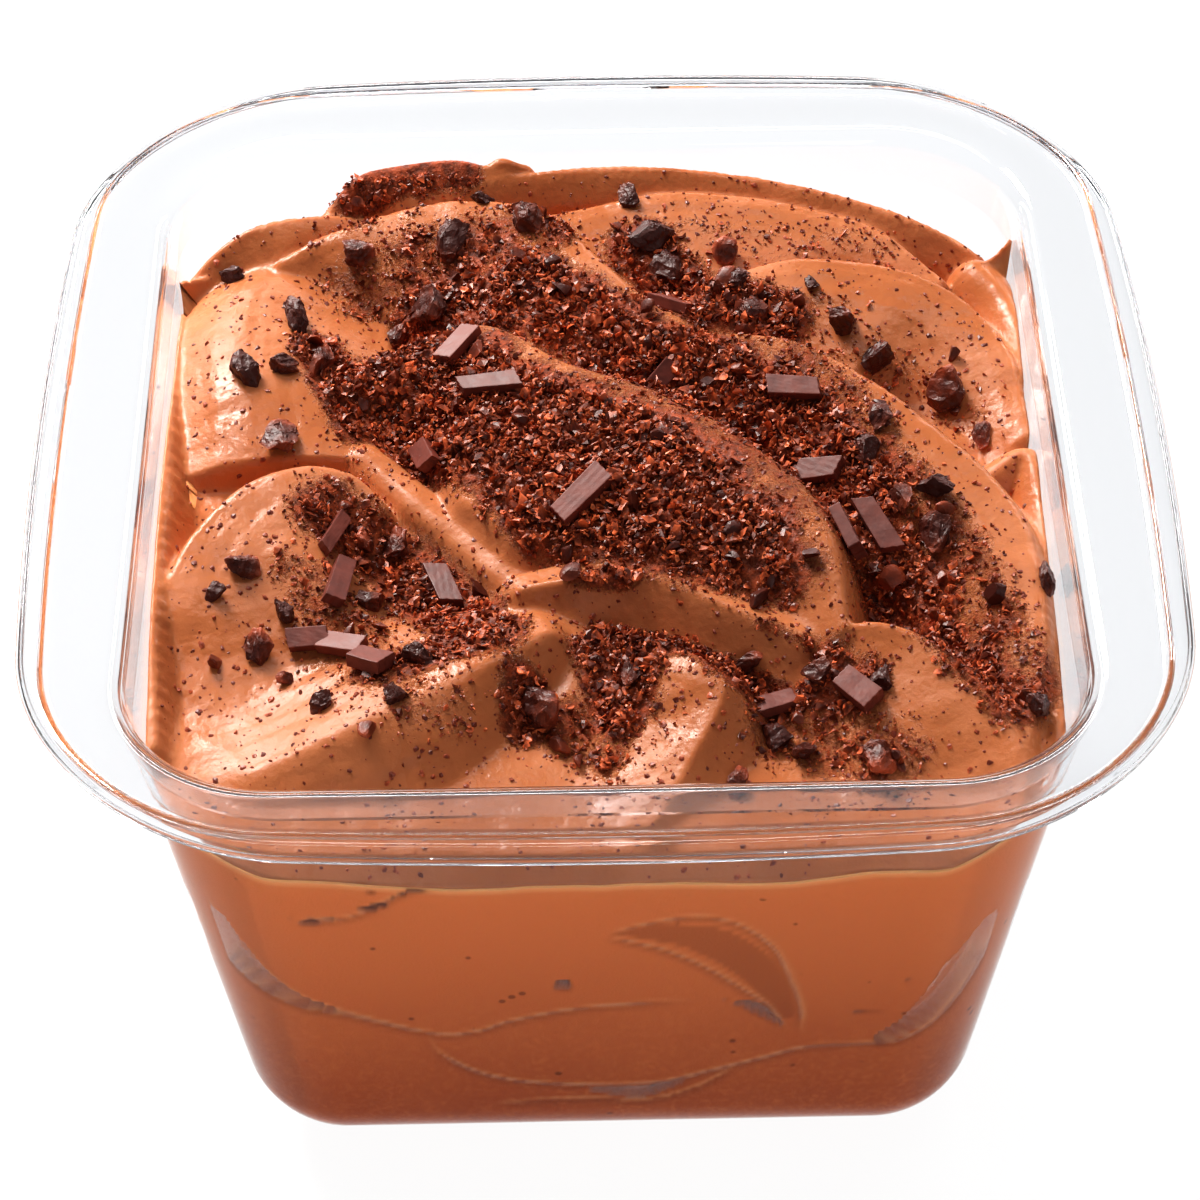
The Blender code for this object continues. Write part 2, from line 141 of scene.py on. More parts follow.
# A fold: its crest as (x, y, height), then for its left and its right, as seen along the crest: the widths
# at even steps along it, how far it falls over that width, the curve of the fall (1 is straight, more is
# domed, less is hollow), and the slope past that width. The last value says which ends are cut off blunt.
FOLDS = {
    "back_left_curl": ([(-30.0, 43.6, -6.4), (-26.0, 47.0, -3.4), (-20.0, 48.2, -2.6), (-14.4, 48.4, -2.6),
                        (-9.4, 47.8, -3.6)],
                       ((2.5, 2.5, 2.0), 4.0, 1.5, 2.6), ((3.0, 6.0, 4.0), 4.0, 1.3, 2.6), ""),
    "back_tip": ([(-11.8, 48.6, -3.4), (-10.2, 48.7, -2.2), (-7.0, 48.4, -3.4)],
                 ((1.0, 1.4, 1.0), 1.6, 1.2, 2.6), ((1.4, 1.6, 1.4), 2.0, 1.2, 2.6), ""),
    "back_ridge": ([(-17.6, 45.0, -5.4), (-10.0, 47.0, -4.0), (-1.0, 47.8, -3.2), (8.0, 47.6, -3.4),
                    (17.1, 46.6, -3.9), (27.0, 43.8, -4.6), (36.0, 40.2, -5.8), (42.5, 37.0, -8.2)],
                   ((1.6, 1.8, 1.6), 3.0, 1.5, 2.6), ((3.0, 4.0, 3.0), 3.4, 1.3, 2.6), ""),
    "left_back_ridge": ([(-45.4, 35.0, -9.4), (-41.0, 38.6, -6.4), (-36.0, 41.4, -5.4), (-30.0, 43.0, -5.6),
                         (-24.0, 43.6, -7.0)],
                        ((1.2, 1.6, 1.2), 3.0, 1.5, 2.6), ((3.0, 6.0, 5.0), 3.5, 1.2, 2.6), ""),
    "back_right_fold": ([(-6.0, 41.5, -5.6), (6.2, 44.2, -4.6), (13.4, 44.0, -4.5), (22.0, 42.4, -5.0),
                         (31.0, 39.2, -6.0), (37.8, 32.8, -8.0)],
                        ((1.6, 1.6, 1.6), 3.0, 1.8, 2.6), ((14.0, 19.0, 8.0), 4.5, 1.6, 2.6), ""),
    "right_back_fold": ([(8.0, 24.5, -5.4), (14.5, 29.6, -4.7), (22.0, 32.1, -4.6), (31.0, 31.4, -5.1),
                         (38.6, 27.8, -6.2), (43.6, 19.5, -7.3), (45.3, 8.0, -9.0)],
                        ((1.6, 1.8, 1.6), 3.0, 1.9, 2.6), ((12.0, 22.0, 6.0), 4.6, 1.6, 2.6), ""),
    "left_dome": ([(-34.0, 39.5, -8.6), (-37.0, 31.0, -7.0), (-37.8, 20.0, -6.7), (-36.6, 11.0, -7.6),
                   (-36.0, 5.4, -9.0)],
                  ((13.0, 17.0, 16.0), 3.6, 1.8, 2.6), ((7.0, 8.5, 9.0), 3.0, 1.9, 2.6), "end"),
    "top_fold": ([(-34.6, 36.6, -7.0), (-30.0, 39.0, -5.6), (-19.5, 42.6, -4.4), (-9.8, 42.8, -4.1),
                  (-3.9, 38.6, -4.1), (2.8, 28.4, -4.2), (8.5, 22.0, -4.8)],
                 ((1.2, 1.8, 2.5), 3.4, 1.6, 2.6), ((3.0, 16.0, 22.0, 21.0, 8.0), 5.0, 1.7, 1.8), ""),
    "right_arc": ([(11.2, 20.2, -5.0), (21.1, 17.7, -4.5), (29.6, 10.0, -4.7), (37.0, 1.0, -5.4),
                   (42.0, -7.4, -6.3), (43.5, -17.5, -7.3), (42.8, -28.0, -9.2), (40.6, -36.5, -11.6)],
                  ((1.5, 2.4, 2.0), 3.4, 1.9, 2.6), ((8.0, 18.0, 6.0), 4.2, 1.8, 2.6), ""),
    "middle_fold": ([(-28.6, 14.4, -8.2), (-24.0, 18.4, -7.0), (-17.6, 21.4, -5.9), (-11.6, 22.0, -5.0),
                     (-4.2, 14.6, -4.3), (4.1, 8.5, -4.0), (10.8, 3.4, -4.0), (17.4, -3.1, -4.3),
                     (21.6, -9.4, -4.9), (23.4, -16.0, -5.9), (24.0, -22.4, -8.0)],
                    ((1.6, 2.0, 6.0, 4.0, 1.6), 3.4, 1.6, 2.6),
                    ((2.0, 16.0, 21.0, 22.5, 20.0, 14.5, 3.0), 3.8, 1.8, 1.1), ""),
    "left_swirl": ([(-46.0, -22.0, -12.0), (-44.4, -15.0, -9.2), (-41.6, -7.5, -7.9), (-37.0, -1.2, -7.1),
                    (-31.0, 1.9, -6.9), (-26.0, 1.6, -7.6), (-22.5, -1.4, -9.2)],
                   ((1.2, 1.6, 1.4), 2.6, 1.6, 2.2), ((20.0, 26.0, 32.0, 24.0, 8.0), 5.2, 1.25, 0.5), ""),
    "left_swirl_lip": ([(-5.8, -21.2, -9.2), (-11.0, -25.0, -8.8), (-18.4, -29.8, -9.1),
                        (-26.0, -33.6, -10.4), (-33.9, -37.0, -12.2)],
                       ((4.0, 8.0, 6.0), 4.8, 1.5, 1.2), ((8.0, 14.0, 12.0), 2.6, 1.3, 0.6), ""),
    "valley_strip": ([(-24.6, 6.6, -9.4), (-20.0, 1.2, -9.8), (-14.6, -4.6, -10.2), (-9.4, -11.0, -10.6),
                      (-4.4, -16.6, -11.0), (-2.4, -21.6, -11.7), (-5.0, -29.0, -13.4)],
                     ((2.4, 2.8, 2.4), 0.8, 2.0, 1.6), ((2.0, 2.2, 2.0), 1.0, 2.0, 2.6), ""),
    "front_fold": ([(-0.6, -19.4, -10.6), (4.6, -22.4, -9.4), (9.6, -26.0, -8.6), (11.6, -30.0, -9.2),
                    (8.2, -37.0, -11.6), (3.6, -45.0, -14.2)],
                   ((1.5, 3.8, 4.4), 3.4, 1.0, 1.6), ((4.0, 11.0, 14.0), 3.2, 1.3, 1.0), ""),
    "front_right_arc": ([(22.6, -22.6, -8.8), (26.4, -22.4, -7.7), (31.0, -24.4, -7.8), (35.4, -28.6, -8.6),
                         (38.8, -34.0, -9.8), (40.0, -40.0, -11.8), (38.6, -46.0, -13.8)],
                        ((1.6, 2.2, 2.4), 1.8, 1.5, 2.0), ((8.0, 16.0, 12.0), 4.6, 0.9, 1.0), ""),
    "right_wall_curl": ([(40.6, 1.6, -9.0), (44.6, 3.2, -7.6), (45.6, -4.0, -8.4), (45.4, -19.0, -9.6),
                         (44.0, -35.0, -11.4)],
                        ((2.6, 3.0, 2.0), 2.4, 1.8, 2.0), ((2.6, 3.6, 2.0), 2.4, 1.8, 2.0), ""),
    "right_smear": ([(41.8, 33.6, -6.6), (45.0, 27.0, -7.2), (46.2, 16.0, -8.2)],
                    ((3.0, 3.0, 3.0), 2.0, 1.8, 2.6), ((3.0, 3.5, 3.0), 2.4, 1.8, 2.6), ""),
    "right_spike": ([(45.8, 35.4, -3.8), (43.6, 34.4, -6.2), (40.3, 33.0, -7.8)],
                    ((0.6, 1.0, 1.6), 2.4, 1.0, 2.6), ((0.8, 1.2, 1.6), 3.0, 1.2, 2.6), ""),
    "left_spike": ([(-46.2, 32.0, -4.8), (-45.4, 33.6, -6.8), (-42.5, 36.0, -8.4)],
                   ((0.6, 1.0, 1.6), 2.4, 1.0, 2.6), ((0.8, 1.2, 1.6), 3.0, 1.2, 2.6), ""),
    "middle_fold_lip": ([(-8.0, -15.0, -8.9), (-3.0, -14.6, -8.0), (3.0, -14.2, -7.6), (8.0, -16.2, -7.7),
                         (12.6, -18.8, -8.1), (19.8, -22.5, -9.2)],
                        ((3.0, 5.0, 4.0), 1.0, 1.2, 2.6), ((0.4, 0.7, 0.5), 0.3, 1.0, 1.15), ""),
    "left_wall_smear": ([(-45.6, 30.0, -8.8), (-45.6, 14.0, -8.2), (-45.4, -4.0, -7.8), (-45.0, -20.0, -8.8),
                         (-44.0, -34.0, -11.2)],
                        ((0.8, 1.4, 0.8), 0.8, 1.3, 1.6), ((3.0, 3.0, 3.0), 0.4, 1.0, 1.0), ""),
}

# Where cocoa and grated chocolate lie, in millimetres: strokes from (x, y) to (x, y), how wide, how thick.
DUSTINGS = [
    ((-25, 17), (-12, 18), 5.5, 0.95), ((-17, 12), (8, -2), 11.0, 1.0), ((-6, -4), (16, -11), 7.5, 1.0),
    ((8, -11), (20, -15), 5.0, 0.62), ((12, 3), (20, -9), 5.0, 0.75), ((-26, 33), (-12, 38), 5.5, 0.42),
    ((-17, 33), (-7, 37), 6.5, 0.62), ((-18, 29), (-8, 27), 5.0, 0.85), ((-7, 30), (2, 21), 6.0, 1.0),
    ((2, 21), (20, 8), 6.5, 1.0), ((20, 8), (27, -4), 6.0, 1.0), ((25, -6), (32, -18), 5.5, 0.8),
    ((32, -20), (40, -31), 4.0, 0.7), ((28, 2), (36, -12), 4.5, 0.5), ((5, 37), (9, 32), 4.5, 0.8),
    ((11, 27), (19, 24), 5.0, 0.9), ((20, 17), (28, 6), 4.0, 0.42), ((0, -17), (3, -29), 5.0, 1.0),
    ((3, -19), (14, -25), 4.5, 0.95), ((14, -24), (24, -28), 4.5, 0.72), ((-4, -30), (3, -35), 4.5, 0.5),
    ((-28, -3), (-20, -8), 5.0, 0.66), ((-20, -8), (-12, -20), 5.5, 0.8), ((-14, -22), (-22, -25), 4.0, 0.6),
    ((-30, -12), (-24, -20), 5.0, 0.4), ((-30, 22), (-25, 11), 3.6, 0.75), ((17, -31), (27, -36), 6.0, 0.42),
    ((-30, 40), (-20, 42), 3.0, 0.3), ((-27, 45.6), (-14, 47.8), 2.4, 0.72), ((-8, -27), (-8, -30), 3.0, 0.8),
    ((-28, -18), (-18, -30), 7.0, 0.3),
    ((36, -14), (42, -30), 5.0, 0.45), ((24, 24), (38, 12), 6.0, 0.26), ((10, 38), (30, 36), 5.0, 0.26),
]
# Crests where the spatula left only powder: strokes as above.
POWDERED = [
    ((-12, 22), (-2, 13), 2.2, 0.75), ((-2, 13), (11, 3.6), 2.0, 0.6), ((11, 3.6), (19, -5), 2.6, 0.85),
    ((19, -5), (23.6, -17), 3.0, 0.95), ((-9, 39), (2, 28), 1.8, 0.6), ((2, 28), (8, 22), 1.8, 0.5),
]
# Faces that a cut has left clean: strokes as above.
CLEAN = [
    ((-8, -16.4), (4, -16.8), 1.7, 1.0), ((4, -16.8), (12, -20.8), 1.7, 1.0),
    ((12, -20.8), (19, -24.4), 1.4, 1.0), ((-24, 7), (-10, -10), 2.2, 0.9),
    ((-10, -10), (-3, -18), 2.0, 0.9), ((7, -27), (2, -40), 2.4, 0.7),
]
# How full a stroke is at its line, and how much less a width away from it; over 1 is full.
STROKE_FULL, STROKE_FADE = 1.55, 1.25
# How thickly specks lie away from the strokes, and how many of each scattered kind there are.
SPECKLED = 0.30
CRUMBS = 8400
FINE_CRUMBS = 8200
SPECKLES = 8400
CHIPS = 80
# The half sizes of the field that they are scattered over, and how much the wall has narrowed there.
FIELD_HALF_X, FIELD_HALF_Y = 46, 50
NARROWED = 3.2

# Chocolate chunks, in millimetres: (x, y, size).
CHUNKS = [
    (-32.5, 26.0, 3.2), (-36.8, 16.7, 3.4), (-33.6, 18.5, 2.4), (-33.3, 7.5, 4.0), (-29.6, 19.6, 3.6),
    (-26.3, 36.4, 3.4), (-15.4, 37.1, 4.2), (-7.5, 39.2, 4.0), (-12.5, 43.4, 2.6), (-17.9, 28.8, 4.2),
    (-21.7, 27.5, 3.0), (5.8, 37.5, 4.2), (8.3, 33.8, 4.4), (14.6, 35.2, 3.0), (15.0, 28.3, 3.0),
    (16.7, 25.0, 3.0), (23.3, 28.2, 2.4), (26.5, 22.9, 3.8), (29.8, 19.2, 3.6), (37.9, 15.0, 4.4),
    (40.7, 9.6, 2.6), (25.4, 16.7, 2.0), (30.7, 13.8, 2.2), (29.2, 5.8, 3.0), (27.9, 2.4, 3.2),
    (34.3, -4.6, 3.4), (30.6, -5.4, 3.2), (34.2, -9.3, 3.6), (-36.7, -11.5, 3.2), (-39.2, -14.6, 2.0),
    (-24.3, -13.5, 3.2), (-32.1, -16.3, 2.6), (-34.8, -20.8, 3.0), (-31.7, -23.8, 1.8), (-18.5, -23.8, 3.4),
    (-27.9, -29.2, 2.6), (-20.7, -30.2, 2.4), (-21.2, -5.4, 3.0), (-24.3, -5.8, 2.4), (-7.5, -27.9, 4.4),
    (16.7, -32.1, 3.0), (19.2, -34.2, 2.8), (26.3, -35.8, 3.4), (27.1, -27.9, 2.4), (21.3, -26.3, 2.8),
    (42.0, -32.1, 2.8), (44.0, -16.7, 2.4), (2.9, -25.4, 3.0), (14.2, -23.3, 2.4), (4.2, 43.4, 2.8),
    (-40.0, 36.0, 3.0), (12.5, -37.9, 2.4),
]
# Cut batons, in millimetres: (x, y, turn in degrees, length, width, thickness).
BATONS = [
    (-1.8, -5.0, 45, 7.0, 2.6, 1.3), (-14.6, 19.0, 52, 5.4, 2.3, 1.1), (-11.2, 11.5, -3, 6.4, 2.2, 1.2),
    (-17.6, 6.0, -62, 4.4, 2.4, 1.2), (6.4, 16.2, 60, 4.6, 2.0, 1.1), (20.7, 11.1, -12, 5.6, 2.2, 1.3),
    (22.9, 0.2, -8, 4.8, 2.4, 1.4), (28.2, -7.9, -68, 6.6, 2.2, 1.2), (24.0, -10.4, -40, 5.2, 2.2, 1.3),
    (-27.1, -12.5, 77, 7.4, 2.1, 1.2), (-16.2, -11.2, -72, 5.8, 2.3, 1.2), (-29.6, -19.3, 2, 4.2, 2.2, 1.2),
    (-26.0, -20.9, -24, 4.8, 2.2, 1.2), (-23.2, -24.8, -35, 4.0, 2.6, 1.4), (16.7, -28.2, 18, 4.4, 2.1, 1.2),
    (25.0, -28.9, -50, 4.6, 2.6, 1.5), (8.0, 25.6, -30, 4.8, 2.2, 1.2), (-27.8, -5.6, 68, 5.4, 1.5, 1.0),
]
BATON_ROUNDING = 0.10
# Cutting planes make a lump smaller; these bring chunks and chips back to their sizes.
CHUNK_GROWTH = 1.3
CHIP_GROWTH = 1.5

# What shows of the mousse's layers through the wall, in millimetres across it and up from the base.
# Seams between spoonfuls: the line, and how far the mousse stands back from the wall there.
SEAMS = [
    ([(-40.5, 45.5), (-36.4, 37.5), (-32.0, 31.4), (-27.7, 28.1), (-18.3, 23.4), (-13.7, 23.5), (-10.0, 25.4),
      (-4.0, 27.3), (0.8, 28.0), (8.0, 28.6)], 0.22),
    ([(-18.6, 23.2), (-17.8, 20.0), (-14.6, 16.4), (-10.6, 14.2), (-6.0, 13.2), (0.0, 12.7), (5.4, 13.2),
      (10.3, 15.2), (15.0, 17.2), (20.0, 19.4), (25.4, 19.9), (29.4, 20.4), (33.5, 23.8), (36.5, 30.0),
      (38.8, 38.5)], 0.25),
    ([(-39.4, 36.0), (-36.5, 31.6), (-32.0, 28.9), (-26.0, 26.8), (-19.0, 23.4)], 0.2),
    ([(-30.0, 44.0), (-25.0, 44.8), (-19.5, 48.8), (-13.0, 51.0)], 0.18),
    ([(-0.6, 40.7), (4.0, 42.6), (8.6, 43.6), (12.6, 42.0), (16.0, 38.0), (18.0, 32.0), (19.2, 26.4),
      (19.0, 22.4)], 0.2),
    ([(-0.6, 40.5), (5.0, 38.0), (9.4, 34.6), (12.8, 31.0), (15.8, 27.4), (17.4, 23.4)], 0.2),
    ([(-12.0, 9.6), (-3.0, 10.2), (4.0, 9.8), (9.0, 12.2), (13.0, 16.0)], 0.12),
]
# Hollows where air is left: the line, widths along it, how deep, and how dark. The darkness is painted shade
# in the pockets, folds, cracks and bubble, and cocoa in the patches along the mousse's top edge.
HOLLOWS = [
    ([(-39.6, 41.0), (-36.4, 34.4), (-33.0, 30.8), (-27.6, 28.0)], (2.0, 2.2, 1.2, 0.2), 1.5, 0.0),
    ([(27.4, 20.6), (31.4, 24.6), (34.4, 30.6), (37.6, 39.0)], (0.8, 2.0, 2.3, 0.8), 1.6, 0.0),
    ([(11.2, 28.7), (14.6, 27.2), (17.6, 23.7)], (0.1, 1.1, 0.2), 0.9, 0.55),
    ([(-2.5, 12.0), (3.0, 11.4), (8.0, 13.6)], (0.2, 1.3, 0.2), 0.7, 0.4),
    ([(-0.4, 40.7), (4.0, 41.0), (8.8, 40.0), (12.8, 36.6), (15.8, 31.6), (18.0, 25.4)],
     (0.1, 1.8, 2.8, 2.6, 2.0, 0.9), 0.0, 0.34),
    ([(-5.0, 31.9), (-4.6, 31.9)], (0.9, 0.9), 0.8, 0.6),
    ([(-31.6, 44.5), (-29.2, 44.0), (-26.8, 44.4)], (0.2, 0.8, 0.2), 0.5, 0.85),
    ([(-25.0, 46.6), (-23.2, 46.2), (-21.2, 46.9)], (0.2, 0.8, 0.3), 0.4, 0.95),
    ([(-21.4, 47.6), (-18.0, 49.6), (-12.6, 51.0)], (0.2, 1.1, 0.1), 0.2, 0.8),
    ([(28.0, 31.1), (29.6, 31.4), (31.4, 31.2)], (0.1, 0.6, 0.1), 0.4, 0.9),
    ([(24.6, 26.0), (27.0, 26.2), (29.8, 26.4)], (0.3, 0.4, 0.1), 0.3, 0.8),
    ([(-8.9, 12.4), (-6.2, 9.8), (-4.5, 6.6)], (0.1, 0.3, 0.15), 0.1, 0.8),
    ([(4.4, 41.8), (7.6, 42.8), (10.6, 42.4)], (0.1, 0.35, 0.1), 0.1, 0.7),
    ([(-24.4, 49.6), (-22.8, 48.8), (-21.6, 48.2)], (0.1, 0.5, 0.1), 0.1, 0.6),
]
# A seam's groove, then its painted shade line and painted highlight line, one to each side of it: how strong,
# how far to its side, and how wide.
SEAM_WIDTH = 0.6
SEAM_SHADE = (0.30, -0.35, 0.55)
SEAM_HIGHLIGHT = (0.24, 0.30, 0.32)
HOLLOW_SLOPE = 0.45
WET_DEPTH = 0.6
# The painted highlight, a lighter line where the mousse's edge meets the wall, and how far down it spreads;
# and how much of the painted shade and cocoa marks the sides have.
EDGE_HIGHLIGHT, EDGE_GLOW = 0.9, 0.75 * MM
SIDE_SHADE = 0.35


class Value:
    """A socket of a finish's nodes that adds, scales and compares as a number does."""

    def __init__(self, finish, socket):
        self.finish = finish
        self.socket = socket

    def math(self, operation, *values):
        return self.finish.node("ShaderNodeMath", 0, {"operation": operation}, dict(enumerate(values)))

    def __add__(self, other):
        return self.math("ADD", self, other)

    def __radd__(self, other):
        return self.math("ADD", other, self)

    def __sub__(self, other):
        return self.math("SUBTRACT", self, other)

    def __rsub__(self, other):
        return self.math("SUBTRACT", other, self)

    def __mul__(self, other):
        return self.math("MULTIPLY", self, other)

    def __rmul__(self, other):
        return self.math("MULTIPLY", other, self)

    def __truediv__(self, other):
        return self.math("DIVIDE", self, other)

    def least(self, other):
        return self.math("MINIMUM", self, other)

    def between(self, low, high):
        """0 below low, 1 above high, and an even slope between."""
        return self.finish.node("ShaderNodeMapRange", 0, {"interpolation_type": "SMOOTHSTEP"},
                                {"Value": self, "From Min": low, "From Max": high})


class Finish:
    """A material: its Principled shader, and the nodes that vary it."""

    def __init__(self, name, **sockets):
        self.material = bpy.data.materials.new(name)
        self.material.use_nodes = True
        self.tree = self.material.node_tree
        self.shader = self.tree.nodes["Principled BSDF"]
        self.set(**sockets)

    def node(self, kind, output=0, settings=None, inputs=None):
        """A node of any kind: its settings are set first, then the values or links of its sockets."""
        made = self.tree.nodes.new(kind)
        for name, value in (settings or {}).items():
            setattr(made, name, value)
        for key, value in (inputs or {}).items():
            self.feed(made.inputs[key], value)
        return Value(self, made.outputs[output])

    def feed(self, socket, value):
        if isinstance(value, Value):
            self.tree.links.new(value.socket, socket)
        elif socket.type == "RGBA":
            socket.default_value = (*value[:3], 1.0)
        else:
            socket.default_value = value

    def set(self, **sockets):
        for name, value in sockets.items():
            self.feed(self.shader.inputs[name.replace("_", " ")], value)

    def place(self):
        return self.node("ShaderNodeTexCoord", "Object")

    def mark(self, name):
        """What the mesh itself says at each point, under a name."""
        return self.node("ShaderNodeAttribute", "Fac", {"attribute_name": name})

    def noise(self, scale, detail=3.0, roughness=0.55, vector=None, distortion=0.0):
        return self.node("ShaderNodeTexNoise", "Fac", {},
                         {"Vector": vector or self.place(), "Scale": scale, "Detail": detail,
                          "Roughness": roughness, "Distortion": distortion})

    def mix(self, share, first, second):
        return self.node("ShaderNodeMix", 2, {"data_type": "RGBA"}, {0: share, 6: first, 7: second})

    def bump(self, height, distance, strength):
        return self.node("ShaderNodeBump", "Normal", {},
                         {"Height": height, "Distance": distance, "Strength": strength})


def square_point(side, along, half, corner, bow):
    """Points of the tub's rounded square outline. Side 0 is +X and they run anticlockwise; along goes
    from -1, the middle of one corner, to 1, the middle of the next, at an even pace."""
    side, along = np.asarray(side), np.asarray(along, float)
    half_x, half_y = half, half + EXTRA_DEPTH
    across = np.where(side % 2 == 0, half_x, half_y)
    straight = np.where(side % 2 == 0, half_y, half_x) - corner
    walked = np.abs(along) * (straight + corner * math.pi / 4)
    turn = np.maximum(0.0, walked - straight) / corner
    out = across - corner + corner * np.cos(turn)
    over = np.sign(along) * (np.minimum(walked, straight) + corner * np.sin(turn))
    cos, sin = np.array([1, 0, -1, 0])[side], np.array([0, 1, 0, -1])[side]
    x, y = cos * out - sin * over, sin * out + cos * over
    part_x, part_y = x / half_x, y / half_y
    return x - bow * part_x * np.abs(part_x) * part_y ** 2, y - bow * part_y * np.abs(part_y) * part_x ** 2


def wall_section(height, inset):
    """Half size, corner radius and bow (none) of the wall's inner face, moved inwards by inset."""
    height = np.asarray(height, float)
    share = height / HEIGHT
    half = WALL_BASE_HALF + (WALL_TOP_HALF - WALL_BASE_HALF) * share - SHEET
    corner = CORNER_BASE + (CORNER_TOP - CORNER_BASE) * share
    lift = np.clip(1 - height / BASE_FILLET, 0, 1)
    cut = BASE_FILLET * (1 - np.sqrt(1 - lift ** 2))
    corner = np.maximum(corner - cut - inset, SHARPEST_CORNER)
    return half - cut - inset, corner, 0.0


def above_base(level, lift):
    """The height of a level of the wall, once the base's thickness has raised its inner face."""
    return level + (SHEET + lift) * (1 - level / MOUTH)


def smooth_line(points, steps=8):
    """A curve through the points, as even parts of a Catmull-Rom spline."""
    given = np.array(points, float)
    ends = np.vstack([2 * given[0] - given[1], given, 2 * given[-1] - given[-2]])
    line = []
    for k in range(len(given) - 1):
        a, b, c, d = ends[k:k + 4]
        for t in np.arange(steps) / steps:
            line.append(0.5 * (2 * b + (c - a) * t + (2 * a - 5 * b + 4 * c - d) * t ** 2
                               + (3 * b - a - 3 * c + d) * t ** 3))
    line.append(given[-1])
    return np.array(line)


def along_line(x, y, line):
    """For each point, how far it is from a line, how far along it (0 to 1), the line's height there, how much
    it lies to the line's left (1) or right (0), and how far past the line's start and end it is."""
    start, step = line[:-1, :2], np.diff(line[:, :2], axis=0)
    length = np.hypot(step[:, 0], step[:, 1])
    off_x, off_y = x[:, None] - start[:, 0], y[:, None] - start[:, 1]
    reach = (off_x * step[:, 0] + off_y * step[:, 1]) / length ** 2
    part = np.clip(reach, 0, 1)
    away = np.hypot(off_x - part * step[:, 0], off_y - part * step[:, 1])
    nearest = away.min(1, keepdims=True)
    pull = np.exp(-(away - nearest) / (BEND_BLEND + BEND_SPREAD * nearest)) * length
    pull /= pull.sum(1, keepdims=True)
    near = (pull * away).sum(1)
    walked = np.concatenate([[0], np.cumsum(length)])
    along = (pull * (walked[:-1] + part * length)).sum(1) / walked[-1]
    top = (pull * (line[:-1, 2] + part * np.diff(line[:, 2]))).sum(1)
    cross = (step[:, 0] * off_y - step[:, 1] * off_x) / length
    leftness = (pull * cross).sum(1) / np.maximum(near, 0.05)
    before = np.maximum(-reach[:, 0], 0) * length[0] * (along < 0.1)
    after = np.maximum(reach[:, -1] - 1, 0) * length[-1] * (along > 0.9)
    return near, along, top, 0.5 + 0.5 * np.clip(leftness * 1.2, -1, 1), before, after


def ripples(across, along, seed):
    """The fine grooves that a spatula leaves along a fold, as a height in millimetres."""
    draw = np.random.default_rng(seed)
    height = 0
    for wave in GROOVES:
        phase, drift = draw.uniform(0, 2 * math.pi, 2)
        height = height + wave * GROOVE_HEIGHT * np.sin(2 * math.pi * across / wave + phase
                                                         + 1.5 * np.sin(4 * along + drift))
    return height


def soft_excess(amount):
    """How far an amount is above nought, with its corner rounded off."""
    return 0.5 * (amount + np.hypot(amount, EDGE_ROUND)) - EDGE_ROUND / 2 * np.exp(-np.abs(amount))


def fold_height(x, y, crest, left, right, cut, seed):
    """How high one fold stands at each point (millimetres). Past its width it drops away steeply."""
    line = smooth_line(crest)
    reach = max(*left[0], *right[0]) + 9
    low, high = line[:, :2].min(0) - reach, line[:, :2].max(0) + reach
    inside = (x > low[0]) & (x < high[0]) & (y > low[1]) & (y < high[1])
    near, along, top, share, before, after = along_line(x[inside], y[inside], line)
    drop = CLIFF * (before * ("start" in cut) + after * ("end" in cut))
    for part, (widths, fall, curve, slope) in ((share, left), (1 - share, right)):
        width = np.interp(along, np.linspace(0, 1, len(widths)), widths)
        within = fall * np.minimum(near / width, 1) ** curve
        drop = drop + part * (within + slope * soft_excess(near - width))
    height = np.full(x.shape, FAR_BELOW)
    height[inside] = top - drop + ripples(near * np.sign(share - 0.5), along, seed)
    return height


def waves(x, y, length, seed):
    """Smooth unevenness of the given wavelength, from -1 to 1, as a few crossing waves."""
    draw = np.random.default_rng(seed)
    height = 0
    for _ in range(7):
        turn, phase, stretch = draw.uniform(0, math.pi), draw.uniform(0, 2 * math.pi), draw.uniform(0.7, 1.5)
        height = height + np.sin((x * math.cos(turn) + y * math.sin(turn)) * 2 * math.pi / (length * stretch)
                                 + phase)
    return height / 4


def mousse_height(x, y):
    """The mousse's surface (millimetres, below the tub's outer edge): the highest fold at each point."""
    reach_x = np.abs(x) * MM / WALL_TOP_HALF
    reach_y = np.abs(y) * MM / WALL_TOP_HALF
    slope = LEVEL_FRONT + (LEVEL_BACK - LEVEL_FRONT) * np.clip((y - LEVEL_FROM) / LEVEL_RUN, 0, 1)
    bed = slope + CORNER_RISE * (reach_x * reach_y) ** 2 * (y < 0)
    drop = FRONT_DROP * np.clip((DROP_FROM - y) / DROP_RUN, 0, 1) ** 2 * (1 - reach_x ** 4)
    drop = drop * (1 + 0.3 * waves(x, 0, 24.0, 33))
    layers = [bed] + [fold_height(x, y, *fold, seed) for seed, fold in enumerate(FOLDS.values())]
    stack = np.stack(layers)
    top = stack.max(0)
    height = top + BLEND * np.log(np.exp((stack - top) / BLEND).sum(0))
    for tall, length, seed in UNEVENNESS:
        height = height + tall * waves(x, y, length, seed)
    ceiling = HIGHEST + (HIGHEST_AT_BACK - HIGHEST) * np.clip((y - BACK_FROM) / BACK_RUN, 0, 1)
    return np.minimum(height, ceiling) - drop


def grid_places(half_count):
    """For each corner of a square grid of cells: its side, its place along that side, and how far out."""
    steps = np.arange(-half_count, half_count + 1)
    i, j = np.meshgrid(steps, steps)
    out = np.maximum(np.abs(i), np.abs(j))
    side = np.select([(i == out) & (j > -out), (j == out), (i == -out)], [0, 1, 2], 3)
    over = np.choose(side, [j, -i, -j, i])
    return side.ravel(), (over / np.maximum(out, 1)).ravel(), (out / half_count).ravel()


